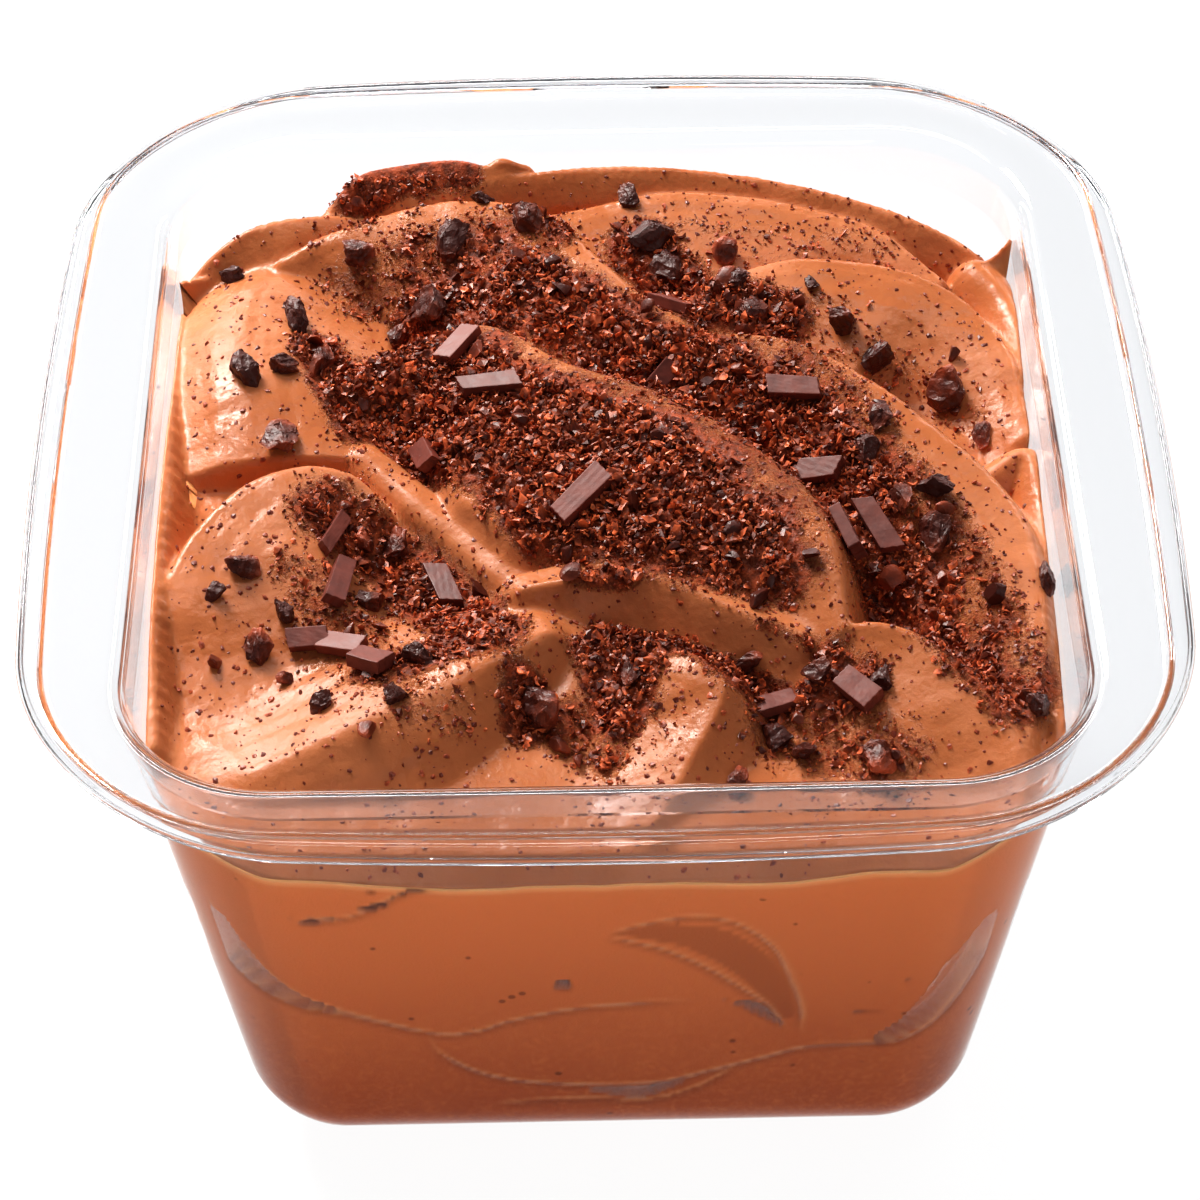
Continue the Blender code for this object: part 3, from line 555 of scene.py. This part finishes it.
def grid_edge(half_count):
    """The grid's outer corners, anticlockwise from the one at +X, -Y: index, side and place along it."""
    wide = 2 * half_count + 1
    edge = []
    for side in range(4):
        for step in range(-half_count, half_count):
            i, j = ((half_count, step), (-step, half_count), (-half_count, -step), (step, -half_count))[side]
            edge.append(((j + half_count) * wide + i + half_count, side, step / half_count))
    return [np.array(column) for column in zip(*edge)]


def surface_points(half_count):
    """The grid's corners laid over the mousse's surface, out into the wall."""
    edge, edge_side, edge_along = grid_edge(half_count)
    x, y = square_point(edge_side, edge_along, *wall_section(HEIGHT - CONTACT_DEPTH, INTO_WALL))
    contact = HEIGHT + mousse_height(x / MM, y / MM) * MM
    side, along, out = grid_places(half_count)
    level = np.interp(side * 2 + along, edge_side * 2 + edge_along, contact, period=8)
    x, y = square_point(side, along, *wall_section(level, INTO_WALL))
    x, y = x * out, y * out
    z = HEIGHT + mousse_height(x / MM, y / MM) * MM
    x[edge], y[edge] = square_point(edge_side, edge_along, *wall_section(z[edge], INTO_WALL))
    return np.stack([x, y, z], -1)


def new_mesh(name, verts, faces, finish, smooth=True):
    """A mesh object from arrays; faces all have the same number of corners, or are a list."""
    mesh = bpy.data.meshes.new(name)
    mesh.from_pydata(np.asarray(verts).tolist(), [], faces if isinstance(faces, list) else faces.tolist())
    mesh.materials.append(finish.material)
    if smooth:
        mesh.shade_smooth()
    made = bpy.data.objects.new(name, mesh)
    bpy.context.scene.collection.objects.link(made)
    return made


def paint(made, name, values):
    """Gives a mesh a number at each of its points, for its material to read."""
    made.data.attributes.new(name, "FLOAT", "POINT").data.foreach_set("value", values)


def strip_faces(first, second):
    """Quads between two closed rings of corner numbers."""
    return np.stack([np.roll(first, -1), first, second, np.roll(second, -1)], -1)


def strokes(x, y, rows):
    """How much the thickest of some strokes covers each point (millimetres)."""
    thick = np.zeros(np.shape(x))
    for (x0, y0), (x1, y1), wide, most in rows:
        run_x, run_y = x1 - x0, y1 - y0
        part = np.clip(((x - x0) * run_x + (y - y0) * run_y) / (run_x ** 2 + run_y ** 2), 0, 1)
        away = np.hypot(x - x0 - part * run_x, y - y0 - part * run_y) / wide
        thick = np.maximum(thick, most * np.clip(STROKE_FULL - STROKE_FADE * away, 0, 1))
    return thick


def dusting(x, y):
    """How thickly cocoa lies at each point (millimetres), from 0 to 1."""
    thick = strokes(x, y, DUSTINGS) * (1 - 0.45 * strokes(x, y, POWDERED)) * (1 - 0.92 * strokes(x, y, CLEAN))
    return np.clip(thick * (1 + 0.22 * waves(x, y, 7.0, 41) + 0.15 * waves(x, y, 2.6, 42)), 0, 1)


def crumbled(x, y):
    """How thickly crumbs lie at each point (millimetres), from 0 to 1."""
    return dusting(x, y) * (1 - 0.8 * strokes(x, y, POWDERED)) * (0.84 + 0.30 * waves(x, y, 3.4, 44))


def mousse_finish():
    look = Finish("mousse", IOR=1.38, Specular_IOR_Level=0.34, Subsurface_Weight=0.12,
                  Subsurface_Scale=LIGHT_DEPTH, Subsurface_Radius=LIGHT_SPREAD)
    place = look.place()
    cloud = look.noise(60, 4, vector=place)
    tone = look.mix(cloud.between(0.3, 0.7), *MOUSSE_TONES)
    cocoa = look.mark("cocoa")
    dust = look.noise(2600, 4, 0.7, vector=place)
    covered = (cocoa * 1.25 + (dust - 0.5) * 0.9).between(0.35, 0.75)
    depth = look.noise(900, 3, 0.6, vector=place)
    # The powder is painted darker where the relief noise is low: painted shade in its pits, over its own
    # colour.
    shaded_powder = look.mix(depth.between(0.35, 0.65), *POWDER_SHADED_TONES)
    look.set(Base_Color=look.mix(covered * 0.9, tone, shaded_powder))
    look.set(Roughness=0.20 + cloud.between(0.42, 0.6) * 0.2 + covered * 0.3)
    grain = look.noise(1500, 4, 0.6, vector=place)
    dimples = look.noise(420, 2, vector=place)
    swells = look.noise(190, 2, vector=place)
    relief = grain * 0.6 + dimples * 1.6 + swells * 2.2 + depth * covered * 4
    look.set(Normal=look.bump(relief, 0.12 * MM, 0.9))
    return look


def build_mousse(top):
    """The folds: the grid laid over the surface, closed underneath by a skirt and a floor out of sight."""
    wide = 2 * GRID_HALF + 1
    cell = np.arange(wide * wide).reshape(wide, wide)
    faces = [np.stack([cell[:-1, :-1], cell[:-1, 1:], cell[1:, 1:], cell[1:, :-1]], -1).reshape(-1, 4)]
    edge, side, along = grid_edge(GRID_HALF)
    skirt = tucked_ring(side, along, top[edge, 2])
    below = len(top) + np.arange(len(edge))
    faces.append(strip_faces(edge, below))
    quads = np.vstack(faces).tolist() + [below[::-1].tolist()]
    verts = np.vstack([top, skirt])
    mousse = new_mesh("mousse_folds", verts, quads, mousse_finish())
    paint(mousse, "cocoa", dusting(verts[:, 0] / MM, verts[:, 1] / MM))
    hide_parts("mousse")
    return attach(mousse, BODY)


def tucked_ring(side, along, level):
    """A ring inside the mousse, in from the wall and down from the given levels."""
    x, y = square_point(side, along, *wall_section(level - TUCK_DOWN, TUCK_IN))
    return np.stack([x, y, level - TUCK_DOWN], -1)


def wall_marks(across, up):
    """For points on the wall, in millimetres: how far the mousse stands back; how much painted shade and
    cocoa darken it, and how much painted highlight lightens it; and how wet it is there."""
    back, shade_and_cocoa, highlight, wet = (np.zeros(across.shape) for _ in range(4))
    for line, depth in SEAMS:
        near, along, _, share, _, _ = along_line(across, up, smooth_line([(*p, 0) for p in line], 6))
        ends = np.clip(np.minimum(along, 1 - along) * 12, 0, 1)
        signed = near * np.sign(share - 0.5)
        back = np.maximum(back, depth * ends * np.exp(-(near / SEAM_WIDTH) ** 2))
        # Painted shade on one side of each seam and a painted highlight on the other.
        shade_and_cocoa, highlight = (np.maximum(shade, most * ends * np.exp(-((signed - off) / wide) ** 2))
                       for shade, (most, off, wide) in ((shade_and_cocoa, SEAM_SHADE), (highlight, SEAM_HIGHLIGHT)))
    for line, widths, depth, shade in HOLLOWS:
        near, along, _, _, before, after = along_line(across, up, smooth_line([(*p, 0) for p in line], 6))
        width = np.interp(along, np.linspace(0, 1, len(widths)), widths)
        inside = np.clip((width - near - before - after) / HOLLOW_SLOPE, 0, 1)
        back = np.maximum(back, depth * inside ** 0.5)
        shade_and_cocoa = np.maximum(shade_and_cocoa, shade * np.clip(inside * 1.6, 0, 1))
        wet = np.maximum(wet, inside * (depth > WET_DEPTH))
    return back, shade_and_cocoa, highlight, wet


def sides_finish():
    """Mousse pressed against the wall: the wall has the gloss, except over the hollows, which are wet."""
    look = Finish("mousse_at_wall", Specular_IOR_Level=0.0, Roughness=0.5, Coat_Roughness=0.14,
                  Subsurface_Weight=0.2, Subsurface_Scale=LIGHT_DEPTH, Subsurface_Radius=LIGHT_SPREAD)
    place = look.place()
    up = look.node("ShaderNodeSeparateXYZ", "Z", {}, {0: place})
    cloud = look.noise(55, 4, vector=place)
    streak = look.noise(1000, 3, 0.6, vector=place, distortion=1.8)
    # Painted shade: the mousse against the wall is painted darker towards the base, where less light reaches
    # it.
    tone = look.mix((up / (HEIGHT - 14 * MM)).between(0.0, 1.0), *WALL_SHADED_TONES)
    tone = look.mix((cloud - 0.35) * 0.5 + streak.between(0.45, 0.72) * 0.34, tone, WALL_STREAK)
    # Pores are painted dark: painted shade in tiny pits.
    pits = look.node("ShaderNodeTexVoronoi", "Distance", {}, {"Vector": place, "Scale": 330.0})
    pitted = look.noise(240, 2, vector=place).between(0.56, 0.62)
    pore = pits.between(0.16, 0.09) * pitted
    shade_and_cocoa, highlight, wet = (look.mark(name) for name in ("shade_and_cocoa", "highlight", "wet"))
    # Painted highlight: the light lines beside the seams and along the mousse's top edge.
    tone = look.mix(highlight, tone, WALL_HIGHLIGHT)
    # Painted shade, with cocoa in the patches along the top edge: seams, pockets, pores and patches darken
    # the tone.
    tone = look.mix((shade_and_cocoa + pore * 0.6).least(0.95), tone, WALL_SHADE_AND_COCOA)
    look.set(Base_Color=tone, Coat_Weight=wet)
    ripple = look.noise(500, 3, vector=place)
    look.set(Normal=look.bump(ripple * wet * 4 + streak * 0.5, 0.14 * MM, 0.8))
    return look


def build_sides(top):
    """The mousse against the wall and base: fine rings, closed out of sight inside the folds."""
    numbers, side, along = grid_edge(GRID_HALF)
    edge = top[numbers]
    count = len(side)
    outward = np.array([[1, 0], [0, 1], [-1, 0], [0, -1]])[side]
    front = (side == 3) * 1.0
    rings, marks = [tucked_ring(side, along, edge[:, 2]), edge], [np.zeros((3, count)), np.zeros((3, count))]
    # Painted highlight on the ring where the mousse's edge meets the wall.
    marks[1][1] = EDGE_HIGHLIGHT
    for ring in range(1, SIDE_RINGS + 1):
        level = edge[:, 2] * (1 - ring / SIDE_RINGS) ** RING_CROWDING
        x, y = square_point(side, along, *wall_section(level, INTO_WALL))
        across = (x * -outward[:, 1] + y * outward[:, 0]) / MM
        across = np.where(side == 0, -across, across)
        back, shade_and_cocoa, highlight, wet = wall_marks(across, level / MM)
        # A painted highlight that fades down from the mousse's top edge.
        glow = np.exp(-((edge[:, 2] - level) / EDGE_GLOW) ** 2)
        x, y = square_point(side, along, *wall_section(level, INTO_WALL + back * MM))
        rings.append(np.stack([x, y, above_base(level, INTO_WALL)], -1))
        # The other walls get less of the painted shade and cocoa marks than the front.
        shade_and_cocoa = shade_and_cocoa * (SIDE_SHADE + (1 - SIDE_SHADE) * front)
        marks.append(np.stack([shade_and_cocoa, np.maximum(highlight, glow), wet]))
    faces = [strip_faces(ring * count + np.arange(count), (ring + 1) * count + np.arange(count))
             for ring in range(len(rings) - 1)]
    lids = [np.arange(count).tolist(), (np.arange(count) + (len(rings) - 1) * count)[::-1].tolist()]
    quads = np.vstack(faces).tolist() + lids
    sides = new_mesh("mousse_sides", np.vstack(rings), quads, sides_finish())
    for name, values in zip(("shade_and_cocoa", "highlight", "wet"), np.concatenate(marks, 1)):
        paint(sides, name, values)
    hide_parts("mousse")
    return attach(sides, BODY)


def resting_places(x, y):
    """Points on the mousse, in metres, at (x, y) in millimetres, and which way the surface faces there."""
    step = 0.5
    z = mousse_height(x, y)
    slope_x = (mousse_height(x + step, y) - z) / step
    slope_y = (mousse_height(x, y + step) - z) / step
    upward = np.stack([-slope_x, -slope_y, np.ones_like(z)], -1)
    upward /= np.linalg.norm(upward, axis=1, keepdims=True)
    return np.stack([x * MM, y * MM, HEIGHT + z * MM], -1), upward


def inside_wall(x, y, margin):
    """Which points, in millimetres, are inside the wall by a margin."""
    half = WALL_TOP_HALF / MM - NARROWED - margin
    edge_x, edge_y = np.abs(x) - half, np.abs(y) - half - EXTRA_DEPTH / MM
    corner = CORNER_TOP / MM
    return ((edge_x < 0) & (edge_y < 0)
            & (np.hypot(np.maximum(edge_x + corner, 0), np.maximum(edge_y + corner, 0)) < corner))


def scatter(draw, count, chance, margin):
    """Random places on the mousse, in millimetres, as many as count, where chance(x, y) lets them fall."""
    places = np.empty((0, 2))
    while len(places) < count:
        x, y = (draw.uniform(-half, half, 4 * count) for half in (FIELD_HALF_X, FIELD_HALF_Y))
        kept = inside_wall(x, y, margin) & (draw.uniform(0, 1, 4 * count) < chance(x, y))
        places = np.vstack([places, np.stack([x, y], -1)[kept]])
    return places[:count, 0], places[:count, 1]


def turned_frames(draw, upward, tilt):
    """Axes for each piece: its third axis leans from the upward direction by a random share of tilt."""
    lean = upward + draw.normal(0, tilt, upward.shape)
    lean /= np.linalg.norm(lean, axis=1, keepdims=True)
    side = np.cross(lean, draw.normal(0, 1, upward.shape))
    side /= np.linalg.norm(side, axis=1, keepdims=True)
    return np.stack([side, np.cross(lean, side), lean], 1)


def as_arrays(shape):
    """A triangulated bmesh's vertices and faces; the bmesh is freed."""
    verts = np.array([v.co[:] for v in shape.verts])
    faces = np.array([[v.index for v in face.verts] for face in shape.faces])
    shape.free()
    return verts, faces


def ball_arrays(subdivisions, radius):
    ball = bmesh.new()
    bmesh.ops.create_icosphere(ball, subdivisions=subdivisions, radius=radius)
    return as_arrays(ball)


def cut_by_planes(draw, lump, cuts, nearest, farthest):
    """Flattens a lump's vertices against planes that face random ways at random distances."""
    for _ in range(cuts):
        normal = draw.normal(0, 1, 3)
        normal /= np.linalg.norm(normal)
        lump -= np.maximum(lump @ normal - draw.uniform(nearest, farthest), 0)[:, None] * normal


def crumb_shapes(draw, count, subdivisions, shape, unevenness, curl=0.0):
    """Small uneven lumps about one unit across, flattened to shape and bent: vertices, and their faces."""
    verts, faces = ball_arrays(subdivisions, 0.5)
    swell = 1 + draw.uniform(-unevenness, unevenness, (count, len(verts), 1))
    jolt = draw.normal(0, unevenness * 0.12, (count, len(verts), 3))
    shapes = (verts * swell + jolt) * np.array(shape)
    shapes[:, :, 2] += draw.uniform(-curl, curl, (count, 1)) * shapes[:, :, 0] ** 2
    return shapes, faces


def laid_mesh(name, shapes, faces, sizes, frames, places, finish, shades, smooth=False):
    """One mesh of many small pieces: each shape is scaled, turned into its frame and put in its place. Its
    shade is painted darkest in its hollows and brightest at its tips: painted shade and painted highlight
    over each piece's own tone."""
    verts = np.einsum("nvi,nij->nvj", shapes * sizes[:, None, None], frames) + places[:, None, :]
    numbers = faces[None] + (np.arange(len(shapes)) * shapes.shape[1])[:, None, None]
    made = new_mesh(name, verts.reshape(-1, 3), numbers.reshape(-1, faces.shape[1]), finish, smooth)
    reach = np.linalg.norm(shapes, axis=2)
    reach /= reach.max(1, keepdims=True)
    # Painted shade in each piece's hollows and painted highlight at its tips, over its own tone.
    paint(made, "shade", (shades[:, None] * (0.2 + 0.8 * reach ** 2)).ravel())
    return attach(made, BODY)


def grated_finish(name, tones):
    look = Finish(name, IOR=1.45)
    mottle = look.noise(1800, 3)
    # The shade mark carries painted shade and painted highlight from the pieces' shapes, with their own tone.
    look.set(Base_Color=look.mix((look.mark("shade") + (mottle - 0.5) * 0.5).between(0.0, 1.0), *tones))
    look.set(Roughness=0.28 + mottle * 0.25)
    look.set(Normal=look.bump(look.noise(3500, 2), 0.05 * MM, 0.6))
    return look


def build_crumbs():
    draw = np.random.default_rng(11)
    x, y = scatter(draw, CRUMBS, lambda x, y: crumbled(x, y) ** 2.2, 0.6)
    places, upward = resting_places(x, y)
    thick = dusting(x, y)
    sizes = (0.55 + 1.25 * draw.uniform(0, 1, CRUMBS) ** 1.8) * MM * (0.5 + 0.5 * thick)
    places += upward * (draw.uniform(-0.1, 0.8, CRUMBS) * thick ** 2 * MM + 0.10 * MM)[:, None]
    shapes, faces = crumb_shapes(draw, CRUMBS, 1, (1.0, 0.70, 0.28), 0.5, 1.6)
    laid_mesh("grated_crumbs", shapes, faces, sizes, turned_frames(draw, upward, 0.75), places,
              grated_finish("grated_chocolate", CRUMB_TONES), draw.uniform(0.15, 1.1, CRUMBS))


def build_fine_crumbs():
    """The finest grating, which lies over the crumbs and at the edge of the dusting."""
    draw = np.random.default_rng(16)
    x, y = scatter(draw, FINE_CRUMBS, lambda x, y: crumbled(x, y) ** 1.4, 0.6)
    places, upward = resting_places(x, y)
    thick = dusting(x, y)
    sizes = draw.uniform(0.32, 0.85, FINE_CRUMBS) * MM * (0.6 + 0.4 * thick)
    places += upward * (draw.uniform(0.0, 1.15, FINE_CRUMBS) * thick ** 2 * MM + 0.08 * MM)[:, None]
    shapes, faces = crumb_shapes(draw, FINE_CRUMBS, 1, (1.0, 0.75, 0.35), 0.5, 1.6)
    laid_mesh("fine_crumbs", shapes, faces, sizes, turned_frames(draw, upward, 0.9), places,
              grated_finish("finest_chocolate", FINE_CRUMB_TONES), draw.uniform(0.1, 1.1, FINE_CRUMBS))


def build_speckles():
    draw = np.random.default_rng(12)
    x, y = scatter(draw, SPECKLES, lambda x, y: SPECKLED * (0.55 + 0.45 * waves(x, y, 14.0, 43))
                   + 0.8 * dusting(x, y) * (1 - 0.6 * dusting(x, y)), 0.4)
    places, upward = resting_places(x, y)
    sizes = (0.18 + 0.62 * draw.uniform(0, 1, SPECKLES) ** 2.2) * MM
    shapes, faces = crumb_shapes(draw, SPECKLES, 1, (1.0, 0.8, 0.45), 0.35)
    laid_mesh("cocoa_specks", shapes, faces, sizes, turned_frames(draw, upward, 0.3), places,
              grated_finish("cocoa_specks", SPECK_TONES), draw.uniform(0, 1, SPECKLES))


def broken_shapes(draw, count, shape):
    """Lumps with flat broken faces: balls cut by planes, about one unit across."""
    verts, faces = ball_arrays(4, 0.62)
    shapes = np.empty((count, len(verts), 3))
    for k in range(count):
        swell = np.sin(verts @ draw.normal(0, 5, (3, 3)) + draw.uniform(0, 6, 3)).sum(1, keepdims=True)
        lump = verts * (1 + 0.16 * swell / 2)
        cut_by_planes(draw, lump, 14, 0.22, 0.42)
        lump += (0.018 * np.sin(lump[:, [1, 2, 0]] * 23 + draw.uniform(0, 6, 3))
                 + draw.normal(0, 0.009, lump.shape))
        shapes[k] = lump * np.array(shape) * draw.uniform(0.8, 1.2, 3)
    return shapes, faces


def chunk_finish():
    look = Finish("dark_chocolate", IOR=1.47)
    mottle = look.noise(700, 4, 0.6)
    # The shade mark carries painted shade and painted highlight at the chunks' edges and corners, with their
    # own tone.
    share = (look.mark("shade") * 1.1 + (mottle - 0.5) * 0.9).between(0.15, 1.0)
    look.set(Base_Color=look.mix(share, *CHUNK_TONES))
    look.set(Roughness=0.30 + mottle * 0.3)
    look.set(Normal=look.bump(look.noise(1300, 3, 0.65), 0.20 * MM, 0.8))
    return look


def build_chunks():
    draw = np.random.default_rng(13)
    x, y, size = np.array(CHUNKS).T
    places, upward = resting_places(x, y)
    places += upward * (size * 0.20 * MM)[:, None]
    shapes, faces = broken_shapes(draw, len(CHUNKS), (1.0, 0.85, 0.66))
    laid_mesh("chocolate_chunks", shapes * CHUNK_GROWTH, faces, size * MM, turned_frames(draw, upward, 0.3),
              places, chunk_finish(), draw.uniform(0, 1, len(CHUNKS)))


def build_chips():
    draw = np.random.default_rng(14)
    x, y = scatter(draw, CHIPS, lambda x, y: 0.02 + dusting(x, y) ** 1.5, 1.2)
    places, upward = resting_places(x, y)
    size = draw.uniform(1.2, 2.6, CHIPS)
    places += upward * (size * 0.3 * MM)[:, None]
    shapes, faces = crumb_shapes(draw, CHIPS, 3, (1.0, 0.7, 0.36), 0.0)
    for lump in shapes:
        cut_by_planes(draw, lump, 9, 0.10, 0.30)
    laid_mesh("chocolate_chips", shapes * CHIP_GROWTH, faces, size * MM, turned_frames(draw, upward, 0.5),
              places, grated_finish("chocolate_flakes", CHIP_TONES), draw.uniform(0, 1, CHIPS))


def baton_shape(draw, length, width, thickness):
    """A baton cut from a bar: its ends slanted, its edges a little rounded and uneven."""
    bar = bmesh.new()
    bmesh.ops.create_cube(bar, size=1.0)
    bmesh.ops.scale(bar, vec=(length, width, thickness), verts=bar.verts)
    bmesh.ops.bevel(bar, geom=bar.edges[:], offset=BATON_ROUNDING, segments=2, affect="EDGES", profile=0.6)
    bmesh.ops.subdivide_edges(bar, edges=[e for e in bar.edges if e.calc_length() > 0.7], cuts=5,
                              use_grid_fill=True)
    bmesh.ops.triangulate(bar, faces=bar.faces[:])
    slant, taper, phase = draw.uniform(-0.45, 0.45), draw.uniform(-0.2, 0.2), draw.uniform(0, 6)
    for vert in bar.verts:
        along = vert.co.x / length
        vert.co.x += slant * vert.co.y + 0.05 * math.sin(vert.co.y * 7 + phase)
        vert.co.y *= 1 + taper * along
        vert.co.z += (0.02 * math.sin(vert.co.x * 2.1 + phase)
                      + 0.008 * math.sin(vert.co.y * 6 + vert.co.x * 5))
    return as_arrays(bar)


def baton_finish():
    look = Finish("cut_chocolate", IOR=1.47)
    mottle = look.noise(500, 5, 0.65)
    look.set(Base_Color=look.mix((look.mark("shade") * 0.4 + mottle * 0.8).between(0.25, 0.9), *BATON_TONES))
    look.set(Roughness=0.42 + mottle * 0.2)
    look.set(Normal=look.bump(look.noise(1100, 4, 0.6), 0.07 * MM, 0.6))
    return look


def build_batons():
    draw = np.random.default_rng(15)
    all_verts, all_faces, shades, count = [], [], [], 0
    for x, y, turn, length, width, thickness in BATONS:
        verts, faces = baton_shape(draw, length, width, thickness)
        run = np.linspace(-0.4, 0.4, 5) * length
        turn = math.radians(turn)
        _, upward = resting_places(x + run * math.cos(turn), y + run * math.sin(turn))
        place, _ = resting_places(np.array([x]), np.array([y]))
        up = upward.mean(0) + draw.normal(0, 0.06, 3)
        up /= np.linalg.norm(up)
        ahead = np.array([math.cos(turn), math.sin(turn), 0])
        ahead -= up * (ahead @ up)
        ahead /= np.linalg.norm(ahead)
        frame_axes = np.stack([ahead, np.cross(up, ahead), up])
        lift = thickness * 0.5 + 0.35 * dusting(np.array([x]), np.array([y]))[0] + 0.1
        all_verts.append(verts @ frame_axes * MM + place[0] + up * lift * MM)
        all_faces.append(faces + count)
        shades.append(np.full(len(verts), draw.uniform(0, 1)))
        count += len(verts)
    batons = new_mesh("chocolate_batons", np.vstack(all_verts), np.vstack(all_faces), baton_finish(), False)
    paint(batons, "shade", np.concatenate(shades))
    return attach(batons, BODY)


def plastic_finish(name, bending):
    """Clear plastic that bends light as much as it is told to, and lets it through to what lies behind."""
    look = Finish(name, Base_Color=(0.90, 0.915, 0.94), IOR=bending, Transmission_Weight=1.0)
    haze = look.noise(90, 3)
    look.set(Roughness=0.015 + haze * 0.03)
    rays = look.node("ShaderNodeLightPath", "Is Shadow Ray")
    open_way = look.node("ShaderNodeBsdfTransparent", 0, {}, {"Color": (0.97, 0.975, 0.985)})
    both = look.node("ShaderNodeMixShader", 0, {}, {0: rays, 1: Value(look, look.shader.outputs[0]),
                                                   2: open_way})
    look.feed(look.tree.nodes["Material Output"].inputs["Surface"], both)
    return look


def tub_ring(half, corner, bow, height):
    """One ring of the tub's upper face, evenly spaced round it."""
    side = np.repeat(np.arange(4), TUB_AROUND)
    along = np.tile(np.arange(TUB_AROUND) * 2 / TUB_AROUND - 1, 4)
    x, y = square_point(side, along, half, corner, bow)
    return np.stack([x, y, np.full(len(x), height)], -1)


def build_tub():
    rings = []
    for inwards, up in smooth_line(MOUTH_SECTION, 5):
        share = max(0.0, min(1.0, inwards / MOUTH_SECTION[-1][0]))
        corner = RIM_CORNER - inwards * MM * (1 - share) + share * (CORNER_TOP - RIM_CORNER)
        rings.append(tub_ring(RIM_HALF_WIDTH - max(inwards, 0) * MM, corner, RIM_BOW * (1 - share),
                              HEIGHT + min(up * MM, BEAD_RISE)))
    levels = [MOUTH - drop * MM for drop in WALL_DROPS]
    levels += [BASE_FILLET * (1 - math.sin(step * math.pi / (2 * FILLET_STEPS)))
               for step in range(FILLET_STEPS + 1)]
    for level in levels:
        rings.append(tub_ring(*wall_section(level, 0.0), above_base(level, 0.0)))
    count = len(rings[0])
    numbers = np.arange(len(rings) * count).reshape(len(rings), count)
    strips = [strip_faces(a, b)[:, [1, 0, 3, 2]] for a, b in zip(numbers[:-1], numbers[1:])]
    quads = np.vstack(strips).tolist() + [numbers[-1].tolist()]
    tub = new_mesh("tub_shell", np.vstack(rings), quads, plastic_finish("clear_plastic", PLASTIC_IOR))
    backed = plastic_finish("clear_plastic_on_mousse", PLASTIC_IOR_ON_MOUSSE)
    tub.data.materials.append(backed.material)
    tub.data.polygons.foreach_set("material_index", [int(len(quads) - k <= BACKED_RINGS * count)
                                                     for k in range(len(quads))])
    sheet = tub.modifiers.new("sheet", "SOLIDIFY")
    sheet.thickness = SHEET
    sheet.offset = -1.0
    sheet.use_even_offset = True
    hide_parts("tub")
    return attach(tub, BODY)


def build_floor():
    """A pale floor that glows evenly near the tub and dims further out."""
    look = Finish("floor", Specular_IOR_Level=0.2, Emission_Strength=0.80)
    place = look.place()
    grain = look.noise(900, 3, vector=place)
    across = look.node("ShaderNodeVectorMath", "Value", {"operation": "LENGTH"}, {0: place})
    far = across.between(0.20, 0.75)
    look.set(Base_Color=look.mix(far, *FLOOR_TONES))
    look.set(Emission_Color=look.mix(far, *FLOOR_GLOW))
    look.set(Roughness=0.5 + grain * 0.2)
    corners = [(x * FLOOR_HALF, y * FLOOR_HALF, 0) for x, y in ((-1, -1), (1, -1), (1, 1), (-1, 1))]
    floor = new_mesh("floor", corners, [(0, 1, 2, 3)], look, smooth=False)


def add_camera():
    data = bpy.data.cameras.new("camera")
    data.lens = CAMERA_LENS
    data.sensor_width = 36.0
    camera = bpy.data.objects.new("camera", data)
    bpy.context.scene.collection.objects.link(camera)
    turn = Matrix.Rotation(-CAMERA_TURN, 4, "Z")
    stand = AIM + CAMERA_DISTANCE * Vector((0, -math.cos(CAMERA_PITCH), math.sin(CAMERA_PITCH)))
    look = Matrix.Rotation(math.pi / 2 - CAMERA_PITCH, 4, "X") @ Matrix.Rotation(-CAMERA_ROLL, 4, "Z")
    camera.matrix_world = turn @ Matrix.Translation(stand) @ look
    bpy.context.scene.camera = camera


def add_lamp(name, place, size, power, colour=(1, 1, 1)):
    data = bpy.data.lights.new(name, "AREA")
    data.shape = "RECTANGLE"
    data.size, data.size_y = size
    data.energy = power
    data.color = colour
    lamp = bpy.data.objects.new(name, data)
    bpy.context.scene.collection.objects.link(lamp)
    lamp.location = place
    lamp.rotation_euler = (LAMPS_AIM - Vector(place)).to_track_quat("-Z", "Y").to_euler()


def light_studio():
    """A soft key from the back left, two narrow strips for the rim's white lines, and a weak fill."""
    add_lamp("key_softbox", (-0.24, 0.40, 0.46), (0.20, 0.20), 5.4, (1.0, 0.97, 0.93))
    add_lamp("top_strip", (0.0, 0.26, 0.80), (1.0, 0.05), 2.2)
    add_lamp("back_strip", (0.0, 0.85, 0.36), (1.8, 0.06), 3.2)
    add_lamp("front_fill", (0.30, -0.70, 0.42), (0.5, 0.4), 0.7)
    world = bpy.data.worlds.new("studio")
    world.use_nodes = True
    backdrop = world.node_tree.nodes["Background"]
    backdrop.inputs["Color"].default_value = (0.92, 0.95, 1.0, 1.0)
    backdrop.inputs["Strength"].default_value = 0.12
    scene = bpy.context.scene
    scene.world = world
    scene.view_settings.view_transform = "Standard"
    scene.view_settings.look = "Medium High Contrast"
    # Light crosses both faces of the rim and the bead several times.
    scene.cycles.glossy_bounces = 16
    scene.cycles.transmission_bounces = 16
    scene.cycles.max_bounces = 24


add_camera()
light_studio()
build_floor()
surface = surface_points(GRID_HALF)
build_mousse(surface)
build_sides(surface)
build_crumbs()
build_fine_crumbs()
build_speckles()
build_chips()
build_chunks()
build_batons()
build_tub()
